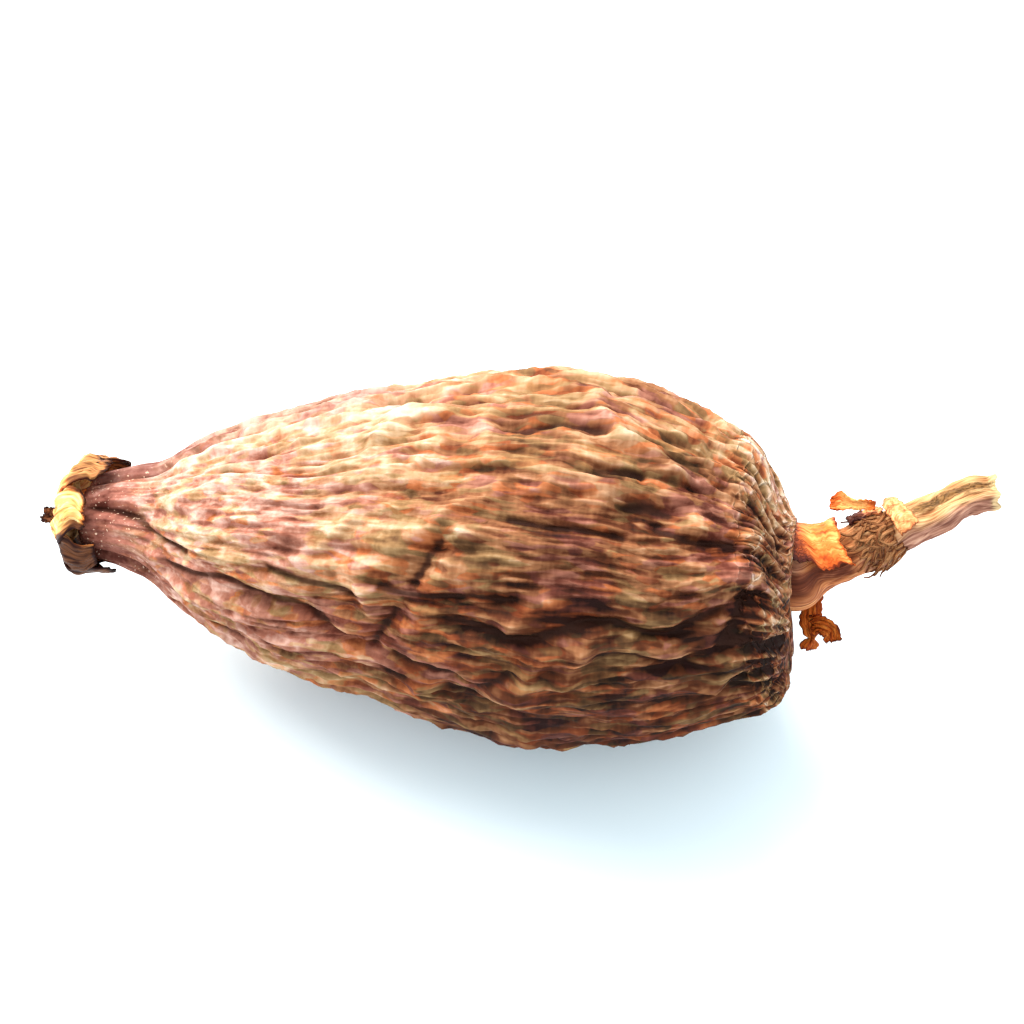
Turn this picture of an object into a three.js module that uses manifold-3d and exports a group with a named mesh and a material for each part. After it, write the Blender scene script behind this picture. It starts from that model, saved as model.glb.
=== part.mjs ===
// A dried alligator pepper pod lying on its side: the wrinkled flask-shaped pod, the dry calyx crumpled round the
// tip of its neck, the broken stalk at its broad end and the papery bracts that still cling to the stalk's foot.
// Millimetres, +Z up. The pod's axis runs along +X from the neck to the stalk and rises a little towards the stalk.
// The origin is under the middle of the whole object, on the surface that the pod rests on.
import * as THREE from "three";
import Module from "manifold-3d";

// Driving dimensions of the pod.
const NECK_TIP = -1.4;
const POD_END = 66.5;
const BELLY_RADIUS = 17.7;
const BELLY_PLACE = 43;
const NECK_RADIUS = 4.9;
const HOLLOW_RADIUS = 4.7;
const HOLLOW_DEPTH = 1.8;
const POD_RISE = THREE.MathUtils.degToRad(4);
const FLAT_DEPTH = 0.75;

// The pod's best side faces forward and up at this angle. Angles round the pod and the stalk are measured from it.
const FACE_ELEVATION = THREE.MathUtils.degToRad(60);

// How far the calyx and the stalk stand off the axis, across it.
const CALYX_OFFSET = 0.3;
const STALK_OFFSET = 2.4;

// The broad end leans: its lower side reaches further along the axis than its upper side, by this share of its width.
const END_LEAN = 0.15;

// The belly sags where it rests: how far, where along it, and over what reach and angle.
const SAG = 1.0;
const SAG_PLACE = 35;
const SAG_REACH = 6;
const SAG_ANGLE = THREE.MathUtils.degToRad(210);

// Where the frame's origin lies: along the pod's axis from the neck's tip, and sideways from that axis.
const ORIGIN_ALONG = 39.355;
const ORIGIN_ASIDE = 0.976;

// Relief of the skin.
const LOBE_HEIGHT = 0.4;
const FOLD_HEIGHT = 0.9;
const FOLDS_ROUND = 5;
const FOLD_LENGTH = 20;
const FOLD_BEND = 0.07;
const CROSS_HEIGHT = 0.4;
const CROSS_ROUND = 2.3;
const CROSS_LENGTH = 6.5;
const DEEPEST_WRINKLE = 1.15;
const HIGHEST_WRINKLE = 0.9;

// Single wrinkles, each a route of [millimetres along the pod, degrees round it] with its height and half width.
const WRINKLES = [
  { height: -1.1, reach: 1.0, route: [[37, -22], [43, -23], [47, -20], [52, -16], [57, -17], [61, -14]] },
  { height: -1.0, reach: 1.0, route: [[9, -28], [15, -24], [19, -25], [23, -28], [26, -32], [28, -36]] },
  { height: -0.8, reach: 0.9, route: [[20, -10], [24, -14], [28, -19]] },
  { height: -0.5, reach: 0.8, route: [[31, -13], [38, -12], [43, -11]] },
  { height: -0.8, reach: 1.4, route: [[36, 3], [35, -3], [34, -8]] },
  { height: -1.0, reach: 1.6, route: [[32, -21], [31, -29], [30, -39]] },
  { height: -0.8, reach: 1.0, route: [[32, -40], [36, -41], [40, -42], [43, -36]] },
  { height: -1.0, reach: 1.7, route: [[37, -50], [42, -54]] },
  { height: -0.7, reach: 0.9, route: [[51, -28], [54, -27], [58, -30]] },
  { height: -1.0, reach: 1.3, route: [[63, -5], [62, -18], [61, -28]] },
  { height: -1.1, reach: 1.2, route: [[59, -27], [62, -26], [65, -28]] },
  { height: -0.8, reach: 1.2, route: [[61, -49], [62, -45]] },
  { height: -0.7, reach: 0.9, route: [[49, 31], [53, 30]] },
  { height: -0.9, reach: 1.5, route: [[52, 21], [56, 22]] },
  { height: -0.7, reach: 0.9, route: [[55, 16], [59, 11], [62, 13]] },
  { height: -0.8, reach: 0.9, route: [[49, 67], [53, 72], [58, 79]] },
  { height: -0.9, reach: 1.0, route: [[28, 67], [33, 60], [37, 58], [41, 61], [46, 63]] },
  { height: -0.6, reach: 0.8, route: [[40, 43], [45, 45], [49, 46]] },
  { height: -0.6, reach: 0.8, route: [[42, 10], [47, 11], [52, 12]] },
  { height: -0.6, reach: 0.8, route: [[-1, 14], [3, 8], [7, -6], [11, -14]] },
  { height: -0.8, reach: 0.9, route: [[-1, 60], [6, 66], [13, 76]] },
  { height: -0.7, reach: 0.9, route: [[-1, -58], [8, -64], [16, -62]] },
  { height: 0.8, reach: 1.1, route: [[32, -1], [35, 6], [37, 13], [40, 18]] },
  { height: 0.6, reach: 0.9, route: [[23, -7], [25, -1], [28, 12]] },
  { height: 0.6, reach: 1.5, route: [[29, -5], [29, -13], [30, -22]] },
  { height: 0.7, reach: 1.0, route: [[43, -19], [45, -12], [47, -8]] },
  { height: 0.7, reach: 1.0, route: [[38, 5], [42, 5], [48, 6]] },
  { height: 0.7, reach: 1.4, route: [[48, -35], [49, -28], [50, -21]] },
  { height: 0.7, reach: 1.4, route: [[44, -43], [45, -32], [46, -27]] },
  { height: 0.7, reach: 1.4, route: [[56, -18], [58, -12], [59, -4], [62, 6]] },
  { height: 0.7, reach: 1.4, route: [[61, -15], [60, -26], [61, -37], [60, -46]] },
  { height: 0.7, reach: 1.1, route: [[28, 40], [31, 54], [35, 49]] },
  { height: 0.6, reach: 1.0, route: [[47, 58], [51, 44], [56, 37]] },
];

// The stalk, the bracts on it and the calyx. A paper is a dry papery scale, and its least thickness is here.
const STALK_START = 65.2;
const STALK_ROOT_RADIUS = 3.8;
const NODE_SHARE = 0.42;
const PAPER = 0.6;
const CLEARANCE = 0.35;
const CALYX_LOBES = 7;
const CALYX_RADIUS = 5.55;
const NODE_FIBRES = 18;

// How finely the surfaces are divided.
const POD_RINGS = 46;
const POD_SIDES = 118;
const STALK_RINGS = 26;
const STALK_SIDES = 20;

const wasm = await Module();
wasm.setup();

const { clamp, degToRad, lerp, smoothstep } = THREE.MathUtils;
const bell = (x) => Math.exp(-x * x);

// The directions that angles are measured in: forward and up from the axis, and across it towards the back.
const FACE = new THREE.Vector3(0, -Math.cos(FACE_ELEVATION), Math.sin(FACE_ELEVATION));
const ACROSS = new THREE.Vector3(0, Math.sin(FACE_ELEVATION), Math.cos(FACE_ELEVATION));

// Gradient noise from about -1 to 1. Each lattice corner's slope comes from a whole-number hash of its place.
function cornerSlope(i, j, k, x, y, z) {
  let h = Math.imul(i, 0x8da6b343) ^ Math.imul(j, 0xd8163841) ^ Math.imul(k, 0xcb1ab31f);
  h = Math.imul(h ^ (h >>> 15), 0x2c1b3c6d);
  h = Math.imul(h ^ (h >>> 12), 0x297a2d39);
  const way = ((h ^ (h >>> 15)) >>> 0) & 15;
  const first = way < 8 ? x : y;
  const second = way < 4 ? y : way === 12 || way === 14 ? x : z;
  return (way & 1 ? -first : first) + (way & 2 ? -second : second);
}

function noise(x, y, z) {
  const [i, j, k] = [Math.floor(x), Math.floor(y), Math.floor(z)];
  const [dx, dy, dz] = [x - i, y - j, z - k];
  const ease = (t) => t * t * t * (t * (t * 6 - 15) + 10);
  const [u, v, w] = [ease(dx), ease(dy), ease(dz)];
  const corner = (a, b, c) => cornerSlope(i + a, j + b, k + c, dx - a, dy - b, dz - c);
  const edge = (b, c) => lerp(corner(0, b, c), corner(1, b, c), u);
  return lerp(lerp(edge(0, 0), edge(1, 0), v), lerp(edge(0, 1), edge(1, 1), v), w);
}

// Noise that closes on itself round the pod: it has about 6 times `round` cells in one turn.
function noiseRound(along, angle, round) {
  return noise(along, round * Math.cos(angle), round * Math.sin(angle));
}

// The pod's outline from the middle of the neck's tip to the middle of the stalk's hollow: [along, radius, how far
// the middle of the ring stands off the axis, across it].
const outline = new THREE.CatmullRomCurve3(
  [
    [NECK_TIP, 0, CALYX_OFFSET],
    [NECK_TIP, 0.42 * NECK_RADIUS, CALYX_OFFSET],
    [NECK_TIP + 0.6, 0.72 * NECK_RADIUS, CALYX_OFFSET],
    [0.4, 0.87 * NECK_RADIUS, 0.4],
    [3, NECK_RADIUS, 0.6],
    [6, 1.18 * NECK_RADIUS, 0.45],
    [9.5, 0.455 * BELLY_RADIUS, 0.27],
    [14, 0.585 * BELLY_RADIUS, 0.15],
    [20, 0.72 * BELLY_RADIUS, 0.17],
    [28, 0.82 * BELLY_RADIUS, 0.6],
    [36, 0.93 * BELLY_RADIUS, 0.75],
    [BELLY_PLACE, BELLY_RADIUS, 0.9],
    [50, 0.96 * BELLY_RADIUS, 1.05],
    [56, 0.87 * BELLY_RADIUS, 0.75],
    [60.5, 0.77 * BELLY_RADIUS, 1.1],
    [63.9, 0.67 * BELLY_RADIUS, 1.2],
    [66, 0.45 * BELLY_RADIUS, -0.1],
    [POD_END, 1.25 * HOLLOW_RADIUS, 1.3],
    [POD_END - 0.5 * HOLLOW_DEPTH, HOLLOW_RADIUS, STALK_OFFSET],
    [POD_END - HOLLOW_DEPTH, 0.75 * HOLLOW_RADIUS, STALK_OFFSET],
    [POD_END - HOLLOW_DEPTH, 0, STALK_OFFSET],
  ].map(([along, radius, aside]) => new THREE.Vector3(along, radius, aside)),
  false,
  "catmullrom",
);
outline.arcLengthDivisions = 1200;
const OUTLINE_LENGTH = outline.getLength();

// The distance from a point on the skin to the nearest part of a wrinkle's route, laid out flat at that radius.
function distanceToRoute(route, along, angle, radius) {
  let least = Infinity;
  for (let i = 1; i < route.length; i++) {
    const [x0, x1] = [route[i - 1][0], route[i][0]];
    const [y0, y1] = [degToRad(route[i - 1][1]) * radius, degToRad(route[i][1]) * radius];
    const [dx, dy] = [x1 - x0, y1 - y0];
    const t = clamp(((along - x0) * dx + (angle * radius - y0) * dy) / (dx * dx + dy * dy), 0, 1);
    least = Math.min(least, Math.hypot(along - x0 - t * dx, angle * radius - y0 - t * dy));
  }
  return least;
}

// The height of the skin's relief at a distance along the outline, a place along the axis and an angle.
function relief(walked, along, angle, radius) {
  const left = OUTLINE_LENGTH - walked;
  const edges = smoothstep(walked, 2.5, 6) * smoothstep(left, 6.5, 10.5);
  const growth = 0.3 + 0.7 * smoothstep(along, 0, 15);
  const turned = angle + FOLD_BEND * noiseRound(walked / 11 + 5, angle, 2);
  const lobes = LOBE_HEIGHT * Math.cos(3 * angle + 0.9);
  const folds = FOLD_HEIGHT * (0.36 - 1.9 * Math.abs(noiseRound(walked / FOLD_LENGTH, turned, FOLDS_ROUND)));
  const cross = CROSS_HEIGHT * (0.3 - 1.6 * Math.abs(noiseRound(walked / CROSS_LENGTH + 31, turned, CROSS_ROUND)));
  const signedAngle = Math.atan2(Math.sin(angle), Math.cos(angle));
  const wavy = signedAngle + 0.07 * noiseRound(walked / 6 + 60, angle, 3);
  let single = 0;
  for (const { height, reach, route } of WRINKLES)
    single += height * bell(distanceToRoute(route, along, wavy, Math.max(radius, 1)) / reach);
  return edges * (growth * (lobes + folds + cross) + clamp(single, -DEEPEST_WRINKLE, HIGHEST_WRINKLE));
}

// Takes a point from the pod's own frame, whose axis is level, to where the pod lies on the surface.
const AXIS_HEIGHT = BELLY_RADIUS * Math.cos(POD_RISE) - BELLY_PLACE * Math.sin(POD_RISE) - FLAT_DEPTH;
const lie = new THREE.Matrix4()
  .makeTranslation(-ORIGIN_ALONG, -ORIGIN_ASIDE, AXIS_HEIGHT)
  .multiply(new THREE.Matrix4().makeRotationY(-POD_RISE));

const onRay = (along, radius, angle) =>
  new THREE.Vector3(along, 0, 0)
    .addScaledVector(FACE, radius * Math.cos(angle))
    .addScaledVector(ACROSS, radius * Math.sin(angle));

// A point of the pod's skin where it lies. The relief fades out round the flat spot, which is pressed level.
function podSkin(walked, angle) {
  const share = clamp(walked / OUTLINE_LENGTH, 0, 1);
  const at = outline.getPointAt(share);
  const way = outline.getTangentAt(share).setZ(0).normalize();
  const sag = SAG * bell((at.x - SAG_PLACE) / SAG_REACH) * Math.max(0, Math.cos(angle - SAG_ANGLE)) ** 3;
  const lean = END_LEAN * at.y * Math.sin(angle) * smoothstep(at.x, 56, 64) * smoothstep(at.y, HOLLOW_RADIUS, 9);
  const place = (rise) =>
    onRay(at.x - lean - way.y * rise, Math.max(0, at.y + sag + way.x * rise), angle)
      .addScaledVector(ACROSS, at.z)
      .applyMatrix4(lie);
  const smooth = place(0);
  const skin = place(relief(walked, at.x, angle, at.y) * smoothstep(smooth.z, 0, 1.4));
  skin.z = Math.max(skin.z, 0);
  return skin;
}

// A closed skin over rings of points, with a middle point beyond its first and its last ring. Each patch is split
// along its shorter diagonal, which follows the wrinkles.
function closedLoft(rings, firstMiddle, lastMiddle) {
  const sides = rings[0].length;
  const points = [...rings.flat(), firstMiddle, lastMiddle];
  const index = [];
  for (let j = 0; j < sides; j++) {
    const next = (j + 1) % sides;
    index.push(points.length - 2, j, next);
    for (let i = 0; i < rings.length - 1; i++) {
      const [a, b] = [i * sides + j, (i + 1) * sides + j];
      const [c, d] = [(i + 1) * sides + next, i * sides + next];
      if (points[a].distanceTo(points[c]) < points[b].distanceTo(points[d])) index.push(a, b, c, a, c, d);
      else index.push(a, b, d, b, c, d);
    }
    index.push(points.length - 1, (rings.length - 1) * sides + next, (rings.length - 1) * sides + j);
  }
  return new THREE.BufferGeometry().setFromPoints(points).setIndex(index);
}

// A closed thin sheet about the surface point(u, w), with u from 0 to 1 along it and w from -1 to 1 across it.
// Both faces are split into the same triangles.
function sheet(point, along, across, thickness) {
  const step = 1e-3;
  const faces = [1, -1].map((side) => {
    const face = [];
    for (let i = 0; i <= along; i++)
      for (let j = 0; j <= across; j++) {
        const [u, w] = [i / along, -1 + (2 * j) / across];
        const slopeU = point(u + step, w).sub(point(u - step, w));
        const slopeW = point(u, w + step).sub(point(u, w - step));
        face.push(point(u, w).addScaledVector(slopeU.cross(slopeW).normalize(), (side * thickness) / 2));
      }
    return face;
  });
  const under = faces[0].length;
  const at = (i, j) => i * (across + 1) + j;
  const index = [];
  for (let i = 0; i < along; i++)
    for (let j = 0; j < across; j++) {
      const [a, b, c, d] = [at(i, j), at(i + 1, j), at(i + 1, j + 1), at(i, j + 1)];
      index.push(a, b, c, a, c, d, under + a, under + c, under + b, under + a, under + d, under + c);
    }
  const rim = [];
  for (let i = 0; i < along; i++) rim.push(at(i, 0));
  for (let j = 0; j < across; j++) rim.push(at(along, j));
  for (let i = along; i > 0; i--) rim.push(at(i, across));
  for (let j = across; j > 0; j--) rim.push(at(0, j));
  rim.forEach((a, i) => {
    const b = rim[(i + 1) % rim.length];
    index.push(a, under + a, under + b, a, under + b, b);
  });
  return new THREE.BufferGeometry().setFromPoints(faces.flat()).setIndex(index);
}

// A geometry as a solid for joining, and the solid back as a geometry.
function solidOf(geometry) {
  return new wasm.Manifold(
    new wasm.Mesh({
      numProp: 3,
      vertProperties: geometry.getAttribute("position").array,
      triVerts: new Uint32Array(geometry.index.array),
    }),
  );
}

// Joins solids and keeps the outer skin of the largest body, which fills any hollow that the joining seals.
function joined(geometries) {
  const whole = geometries.map(solidOf).reduce((a, b) => a.add(b));
  const [largest] = whole.decompose().sort((a, b) => b.volume() - a.volume());
  const { vertProperties, triVerts } = largest.getMesh();
  return new THREE.BufferGeometry()
    .setAttribute("position", new THREE.BufferAttribute(vertProperties, 3))
    .setIndex(new THREE.BufferAttribute(triVerts, 1));
}

function podGeometry() {
  const rings = [];
  for (let i = 1; i < POD_RINGS; i++) {
    const walked = (OUTLINE_LENGTH * i) / POD_RINGS;
    rings.push(Array.from({ length: POD_SIDES }, (_, j) => podSkin(walked, (2 * Math.PI * j) / POD_SIDES)));
  }
  return closedLoft(rings, podSkin(0, 0), podSkin(OUTLINE_LENGTH, 0));
}

// The stalk's middle line in the pod's own frame: [along, across, towards the face], thinning as it goes.
const stalkLine = new THREE.CatmullRomCurve3(
  [
    [STALK_START, STALK_OFFSET, 0],
    [66.6, STALK_OFFSET, 0],
    [68.4, 3.1, 0],
    [71.1, 4.3, 0.1],
    [73.9, 5.9, 0.1],
    [76.7, 7.65, -0.2],
    [79.1, 9.1, -0.5],
    [81.5, 10.7, -0.9],
    [84.6, 11.55, -1.3],
  ].map(([along, across, face]) =>
    new THREE.Vector3(along, 0, 0).addScaledVector(ACROSS, across).addScaledVector(FACE, face),
  ),
);
const stalkRadius = new THREE.SplineCurve(
  [
    [0, 0.92 * STALK_ROOT_RADIUS],
    [0.08, STALK_ROOT_RADIUS],
    [0.18, 2.65],
    [0.3, 2.35],
    [0.4, 2.3],
    [0.55, 2.0],
    [0.72, 1.85],
    [0.86, 1.65],
    [1, 1.5],
  ].map(([share, radius]) => new THREE.Vector2(share, radius)),
);

// A point at a share of the stalk's length, an angle round it and a distance out from its skin.
function stalkPoint(share, angle, out, radius = radiusAt(stalkRadius, share)) {
  const middle = stalkLine.getPointAt(clamp(share, 0, 1));
  const way = stalkLine.getTangentAt(clamp(share, 0, 1));
  const face = FACE.clone().addScaledVector(way, -FACE.dot(way)).normalize();
  const across = new THREE.Vector3().crossVectors(face, way).normalize();
  return middle
    .addScaledVector(face, (radius + out) * Math.cos(angle))
    .addScaledVector(across, (radius + out) * Math.sin(angle));
}

// The height of an outline, drawn as a curve of [share, height] points, at a share of its length.
function radiusAt(curve, share) {
  let [low, high] = [0, 1];
  for (let i = 0; i < 30; i++) {
    const middle = (low + high) / 2;
    if (curve.getPoint(middle).x < share) low = middle;
    else high = middle;
  }
  return curve.getPoint(low).y;
}

// The ribs of the dried stalk, the channel between its two strands and the swelling at its node.
function stalkRelief(share, angle) {
  const ribs = 0.09 * Math.cos(7 * angle + 3 * share) + 0.16 * noiseRound(share * 3 + 12, angle, 1.6);
  const channel = -0.6 * bell((angle - degToRad(35)) / 0.32) * smoothstep(share, 0.55, 0.75);
  const node = 0.25 * bell((share - NODE_SHARE) / 0.05);
  return ribs + channel + node;
}

function stalkGeometry() {
  const rings = [];
  for (let i = 0; i <= STALK_RINGS; i++) {
    const broken = i === STALK_RINGS;
    const share = broken ? 0.97 : i / STALK_RINGS;
    rings.push(
      Array.from({ length: STALK_SIDES }, (_, j) => {
        const angle = (2 * Math.PI * j) / STALK_SIDES;
        return stalkPoint(share + (broken ? 0.05 * noiseRound(7, angle, 1.4) : 0), angle, stalkRelief(share, angle));
      }),
    );
  }
  const body = closedLoft(rings, stalkPoint(0, 0, 0, 0), stalkPoint(0.94, 0, 0, 0));
  return joined([body, ...Array.from({ length: NODE_FIBRES }, (_, i) => nodeFibre(i))]);
}

// A frayed fibre at the stalk's node: it lies aslant along the skin and lifts at its tip.
function nodeFibre(i) {
  const startAngle = degToRad(lerp(-80, 75, (i + 0.5) / NODE_FIBRES)) + 0.12 * noise(i * 3.7, 1.3, 0.5);
  const start = NODE_SHARE + 0.03 + 0.05 * noise(i * 1.7, 3.3, 0.5);
  const reach = 0.1 + 0.05 * noise(i * 2.3, 7.1, 0.5);
  const slant = 0.35 * noise(i * 2.9, 4.4, 0.5) - 0.15;
  const lift = 0.4 + 0.3 * noise(i * 1.3, 8.8, 0.5);
  const point = (u, w) =>
    stalkPoint(start - reach * u, startAngle + slant * u + w * 0.12 * (1 - 0.6 * u), 0.12 + lift * u * u);
  return sheet(point, 3, 1, PAPER);
}

// The sheathing bract: a papery scale round the upper side of the stalk's foot, torn along its lower edge.
function sheathGeometry() {
  const [start, end, lowAtFoot, lowAtEnd, highAngle, lift] = [0.15, 0.3, 12, -20, 165, 0.76];
  const point = (u, w) => {
    const low = lerp(lowAtFoot, lowAtEnd, u) + 18 * noise(u * 4.1, 2.7, 0.4);
    const angle = degToRad(lerp(low, highAngle, (w + 1) / 2));
    const share = lerp(start, end + 0.04 * noise(5.5, w * 2.2, 0.3), u);
    const crumple = 0.14 * noise(u * 3 + 9, w * 3, 1.5);
    return stalkPoint(share, angle, CLEARANCE + lift + crumple + 0.12 * u * u);
  };
  return sheet(point, 9, 14, PAPER);
}

// A ribbon of dry paper along a line of [along, across, towards the face] points, cupped and twisted as it goes.
function ribbon({ line, width, facing, turn, cup, steps }) {
  const middle = new THREE.CatmullRomCurve3(
    line.map(([along, across, face]) =>
      new THREE.Vector3(along, 0, 0).addScaledVector(ACROSS, across).addScaledVector(FACE, face),
    ),
  );
  const point = (u, w) => {
    const share = clamp(u, 0, 1);
    const way = middle.getTangentAt(share);
    const side = new THREE.Vector3().crossVectors(way, facing).normalize();
    const out = new THREE.Vector3().crossVectors(side, way).normalize();
    const spun = turn * share;
    const across = side.clone().multiplyScalar(Math.cos(spun)).addScaledVector(out, Math.sin(spun));
    const lift = out.clone().multiplyScalar(Math.cos(spun)).addScaledVector(side, -Math.sin(spun));
    const half = width(share) * (1 + 0.2 * noise(share * 5, w * 2, 4.4));
    return middle
      .getPointAt(share)
      .addScaledVector(way, u - share)
      .addScaledVector(across, half * w)
      .addScaledVector(lift, cup * w * w + 0.12 * noise(share * 4, w * 2, 9.1));
  };
  return sheet(point, steps, 4, PAPER);
}

// The curled scrap of bract above the stalk: a strip that runs back towards the pod and lifts a torn tip there.
function curlGeometry() {
  const [start, length] = [73.0, 3.7];
  const point = (u, w) => {
    const low = 8.7 - 0.4 * u + 0.12 * noise(u * 6, 1.7, 0.6);
    const high = 9.5 - 0.2 * u + 0.7 * bell((u - 0.8) / 0.15);
    const across = lerp(low, high, (w + 1) / 2);
    const face = 1.1 + 0.6 * Math.sin(Math.PI * clamp(u, 0, 1)) + 0.25 * w * w + 0.15 * noise(u * 4, w * 2, 9.1);
    return onRay(start - length * u, 0, 0).addScaledVector(ACROSS, across).addScaledVector(FACE, face);
  };
  return sheet(point, 14, 5, PAPER);
}

// The torn bract that hangs below the stalk's foot, in two strips.
function hangingGeometry() {
  const strip = ribbon({
    line: [[68.5, 0.1, -3.6], [68.5, -1.2, -3.6], [68.7, -2.7, -3.7], [68.9, -3.9, -4.0], [68.6, -5.0, -4.3]],
    width: (u) => lerp(1.0, 0.7, u),
    facing: FACE,
    turn: 0.3,
    cup: -0.3,
    steps: 9,
  });
  const fork = ribbon({
    line: [[68.7, -2.6, -3.5], [69.7, -2.5, -3.2], [70.6, -2.9, -3.3], [70.8, -3.9, -3.6]],
    width: (u) => lerp(0.9, 0.75, u),
    facing: FACE,
    turn: -0.3,
    cup: 0.2,
    steps: 8,
  });
  return joined([strip, fork]);
}

// The pale flap of leaf scar folded over the stalk just past the node.
function flapGeometry() {
  const [start, end, lowAngle, highAngle, lift] = [0.515, 0.59, -10, 80, 0.45];
  const point = (u, w) => {
    const angle = degToRad(lerp(lowAngle, highAngle, (w + 1) / 2)) + 0.2 * u;
    const share = lerp(start, end - 0.02 * w, u) + 0.012 * noise(w * 3, 1.2, u);
    const fold = 0.3 * Math.sin(Math.PI * u) + 0.15 * noise(u * 3, w * 2, 6.6);
    return stalkPoint(share, angle, CLEARANCE + lift + fold);
  };
  return sheet(point, 6, 6, PAPER);
}

// The dry calyx: a crumpled knob in front of the neck's tip, with papery lobes that fold back over the neck and reach
// furthest along its upper and lower sides, and a shred that stands forward at the far end.
function calyxGeometry() {
  const [knobPlace, halfLength, knobRadius] = [NECK_TIP - 1.6, 0.9, 2.8];
  const rings = [];
  for (let i = 1; i < 6; i++)
    rings.push(
      Array.from({ length: 12 }, (_, j) => {
        const [tilt, angle] = [(Math.PI * i) / 6, (2 * Math.PI * j) / 12];
        const swell = 1 + 0.25 * noiseRound(i * 0.7 + 3, angle, 1.2);
        return onRay(knobPlace - halfLength * swell * Math.cos(tilt), knobRadius * swell * Math.sin(tilt), angle);
      }),
    );
  const knob = closedLoft(rings, onRay(knobPlace - halfLength, 0, 0), onRay(knobPlace + halfLength, 0, 0));
  const aside = ACROSS.clone().multiplyScalar(CALYX_OFFSET);
  const lobes = Array.from({ length: CALYX_LOBES }, (_, i) => calyxLobe(i));
  return joined([knob, calyxShred(), ...lobes]).translate(...aside);
}

function calyxShred() {
  const [root, length, halfWidth, height] = [NECK_TIP - 2.1, 1.5, 0.85, 1.5];
  const point = (u, w) => {
    const along = root - length * u;
    const across = halfWidth * w * (1 - 0.2 * u);
    const face = height + 0.5 * u + 0.25 * noise(u * 4, w * 3, 8.2);
    return onRay(along, 0, 0).addScaledVector(ACROSS, across).addScaledVector(FACE, face);
  };
  return sheet(point, 3, 3, PAPER);
}

function calyxLobe(i) {
  const turn = (2 * Math.PI * (i + 0.1 + 0.5 * noise(i * 3.1, 0.4, 2.2))) / CALYX_LOBES;
  const back = -0.3 + 2.4 * Math.sin(turn) ** 2 + 1.2 * noise(i * 2.7, 9.4, 1.1);
  const front = NECK_TIP - 2.1 - 0.8 * noise(i * 1.9, 5.2, 0.7);
  const middle = new THREE.SplineCurve(
    [
      [NECK_TIP - 1.7, 1.2],
      [front, 2.2],
      [front + 0.5, 3.7],
      [NECK_TIP - 0.5, CALYX_RADIUS - 0.1],
      [lerp(NECK_TIP, back, 0.6), CALYX_RADIUS],
      [back, CALYX_RADIUS + 0.2],
    ].map(([along, radius]) => new THREE.Vector2(along, radius)),
  );
  const point = (u, w) => {
    const share = clamp(u, 0, 1);
    const at = middle.getPoint(share);
    const spread = lerp(0.4, 0.6, Math.sin(Math.PI * share)) * (1 - 0.4 * share * share);
    const angle = turn + w * spread + 0.2 * noise(i * 4.3, share * 3, 0.9);
    const crumple = 0.7 * noise(i * 5.7 + share * 3.8, w * 2.1, 3.8);
    const sunk = smoothstep(share, 0, 0.3) * (crumple > 0 ? 1 : 1 - 0.6 * smoothstep(share, 0.5, 0.7));
    return onRay(at.x + (u - share) + 0.5 * noise(i * 2.1, w * 2.2, share * 2), at.y + crumple * sunk, angle);
  };
  return sheet(point, 9, 5, PAPER);
}

// Finishes of the pieces.
const skin = new THREE.MeshStandardMaterial({ color: 0x9a6a48, roughness: 0.72, metalness: 0 });
const straw = new THREE.MeshStandardMaterial({ color: 0xc29a6b, roughness: 0.75, metalness: 0 });
const bract = new THREE.MeshStandardMaterial({ color: 0xc8702e, roughness: 0.6, metalness: 0 });
const palePaper = new THREE.MeshStandardMaterial({ color: 0xe3bf7c, roughness: 0.6, metalness: 0 });

const object = new THREE.Group();

function addPiece(name, geometry, material) {
  geometry.computeVertexNormals();
  const mesh = new THREE.Mesh(geometry, material);
  mesh.name = name;
  object.add(mesh);
}

// The pieces that the pod carries are drawn in its own frame, and are laid down with it.
addPiece("pod", podGeometry(), skin);
addPiece("calyx", calyxGeometry().applyMatrix4(lie), palePaper);
addPiece("stalk", stalkGeometry().applyMatrix4(lie), straw);
addPiece("sheathing_bract", sheathGeometry().applyMatrix4(lie), bract);
addPiece("curled_bract", curlGeometry().applyMatrix4(lie), bract);
addPiece("hanging_bract", hangingGeometry().applyMatrix4(lie), bract);
addPiece("node_flap", flapGeometry().applyMatrix4(lie), palePaper);

export default object;
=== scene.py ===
"""A dried alligator pepper pod lying on its side, dressed for rendering round its CAD frame.

Every surface here is a formula of two parameters, worked out with numpy as whole arrays. Lengths are millimetres in
the pod's own frame, whose axis runs along X from the neck to the stalk, until a mesh is made, which is in metres.
"""

import bpy
import numpy as np
from mathutils import Matrix, Vector


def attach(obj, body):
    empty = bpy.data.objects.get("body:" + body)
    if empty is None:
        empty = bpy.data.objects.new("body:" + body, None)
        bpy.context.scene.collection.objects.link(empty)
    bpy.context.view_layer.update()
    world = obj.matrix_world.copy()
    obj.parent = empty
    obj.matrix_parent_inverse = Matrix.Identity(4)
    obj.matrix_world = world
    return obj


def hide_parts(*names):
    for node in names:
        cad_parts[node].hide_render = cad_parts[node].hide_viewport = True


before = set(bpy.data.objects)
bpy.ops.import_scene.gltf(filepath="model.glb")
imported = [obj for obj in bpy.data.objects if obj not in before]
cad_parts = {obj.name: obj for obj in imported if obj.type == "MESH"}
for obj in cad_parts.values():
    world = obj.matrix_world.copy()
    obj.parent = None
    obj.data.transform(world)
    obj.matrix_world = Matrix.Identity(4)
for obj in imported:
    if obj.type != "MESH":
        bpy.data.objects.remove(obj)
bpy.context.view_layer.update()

MM = 0.001

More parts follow.
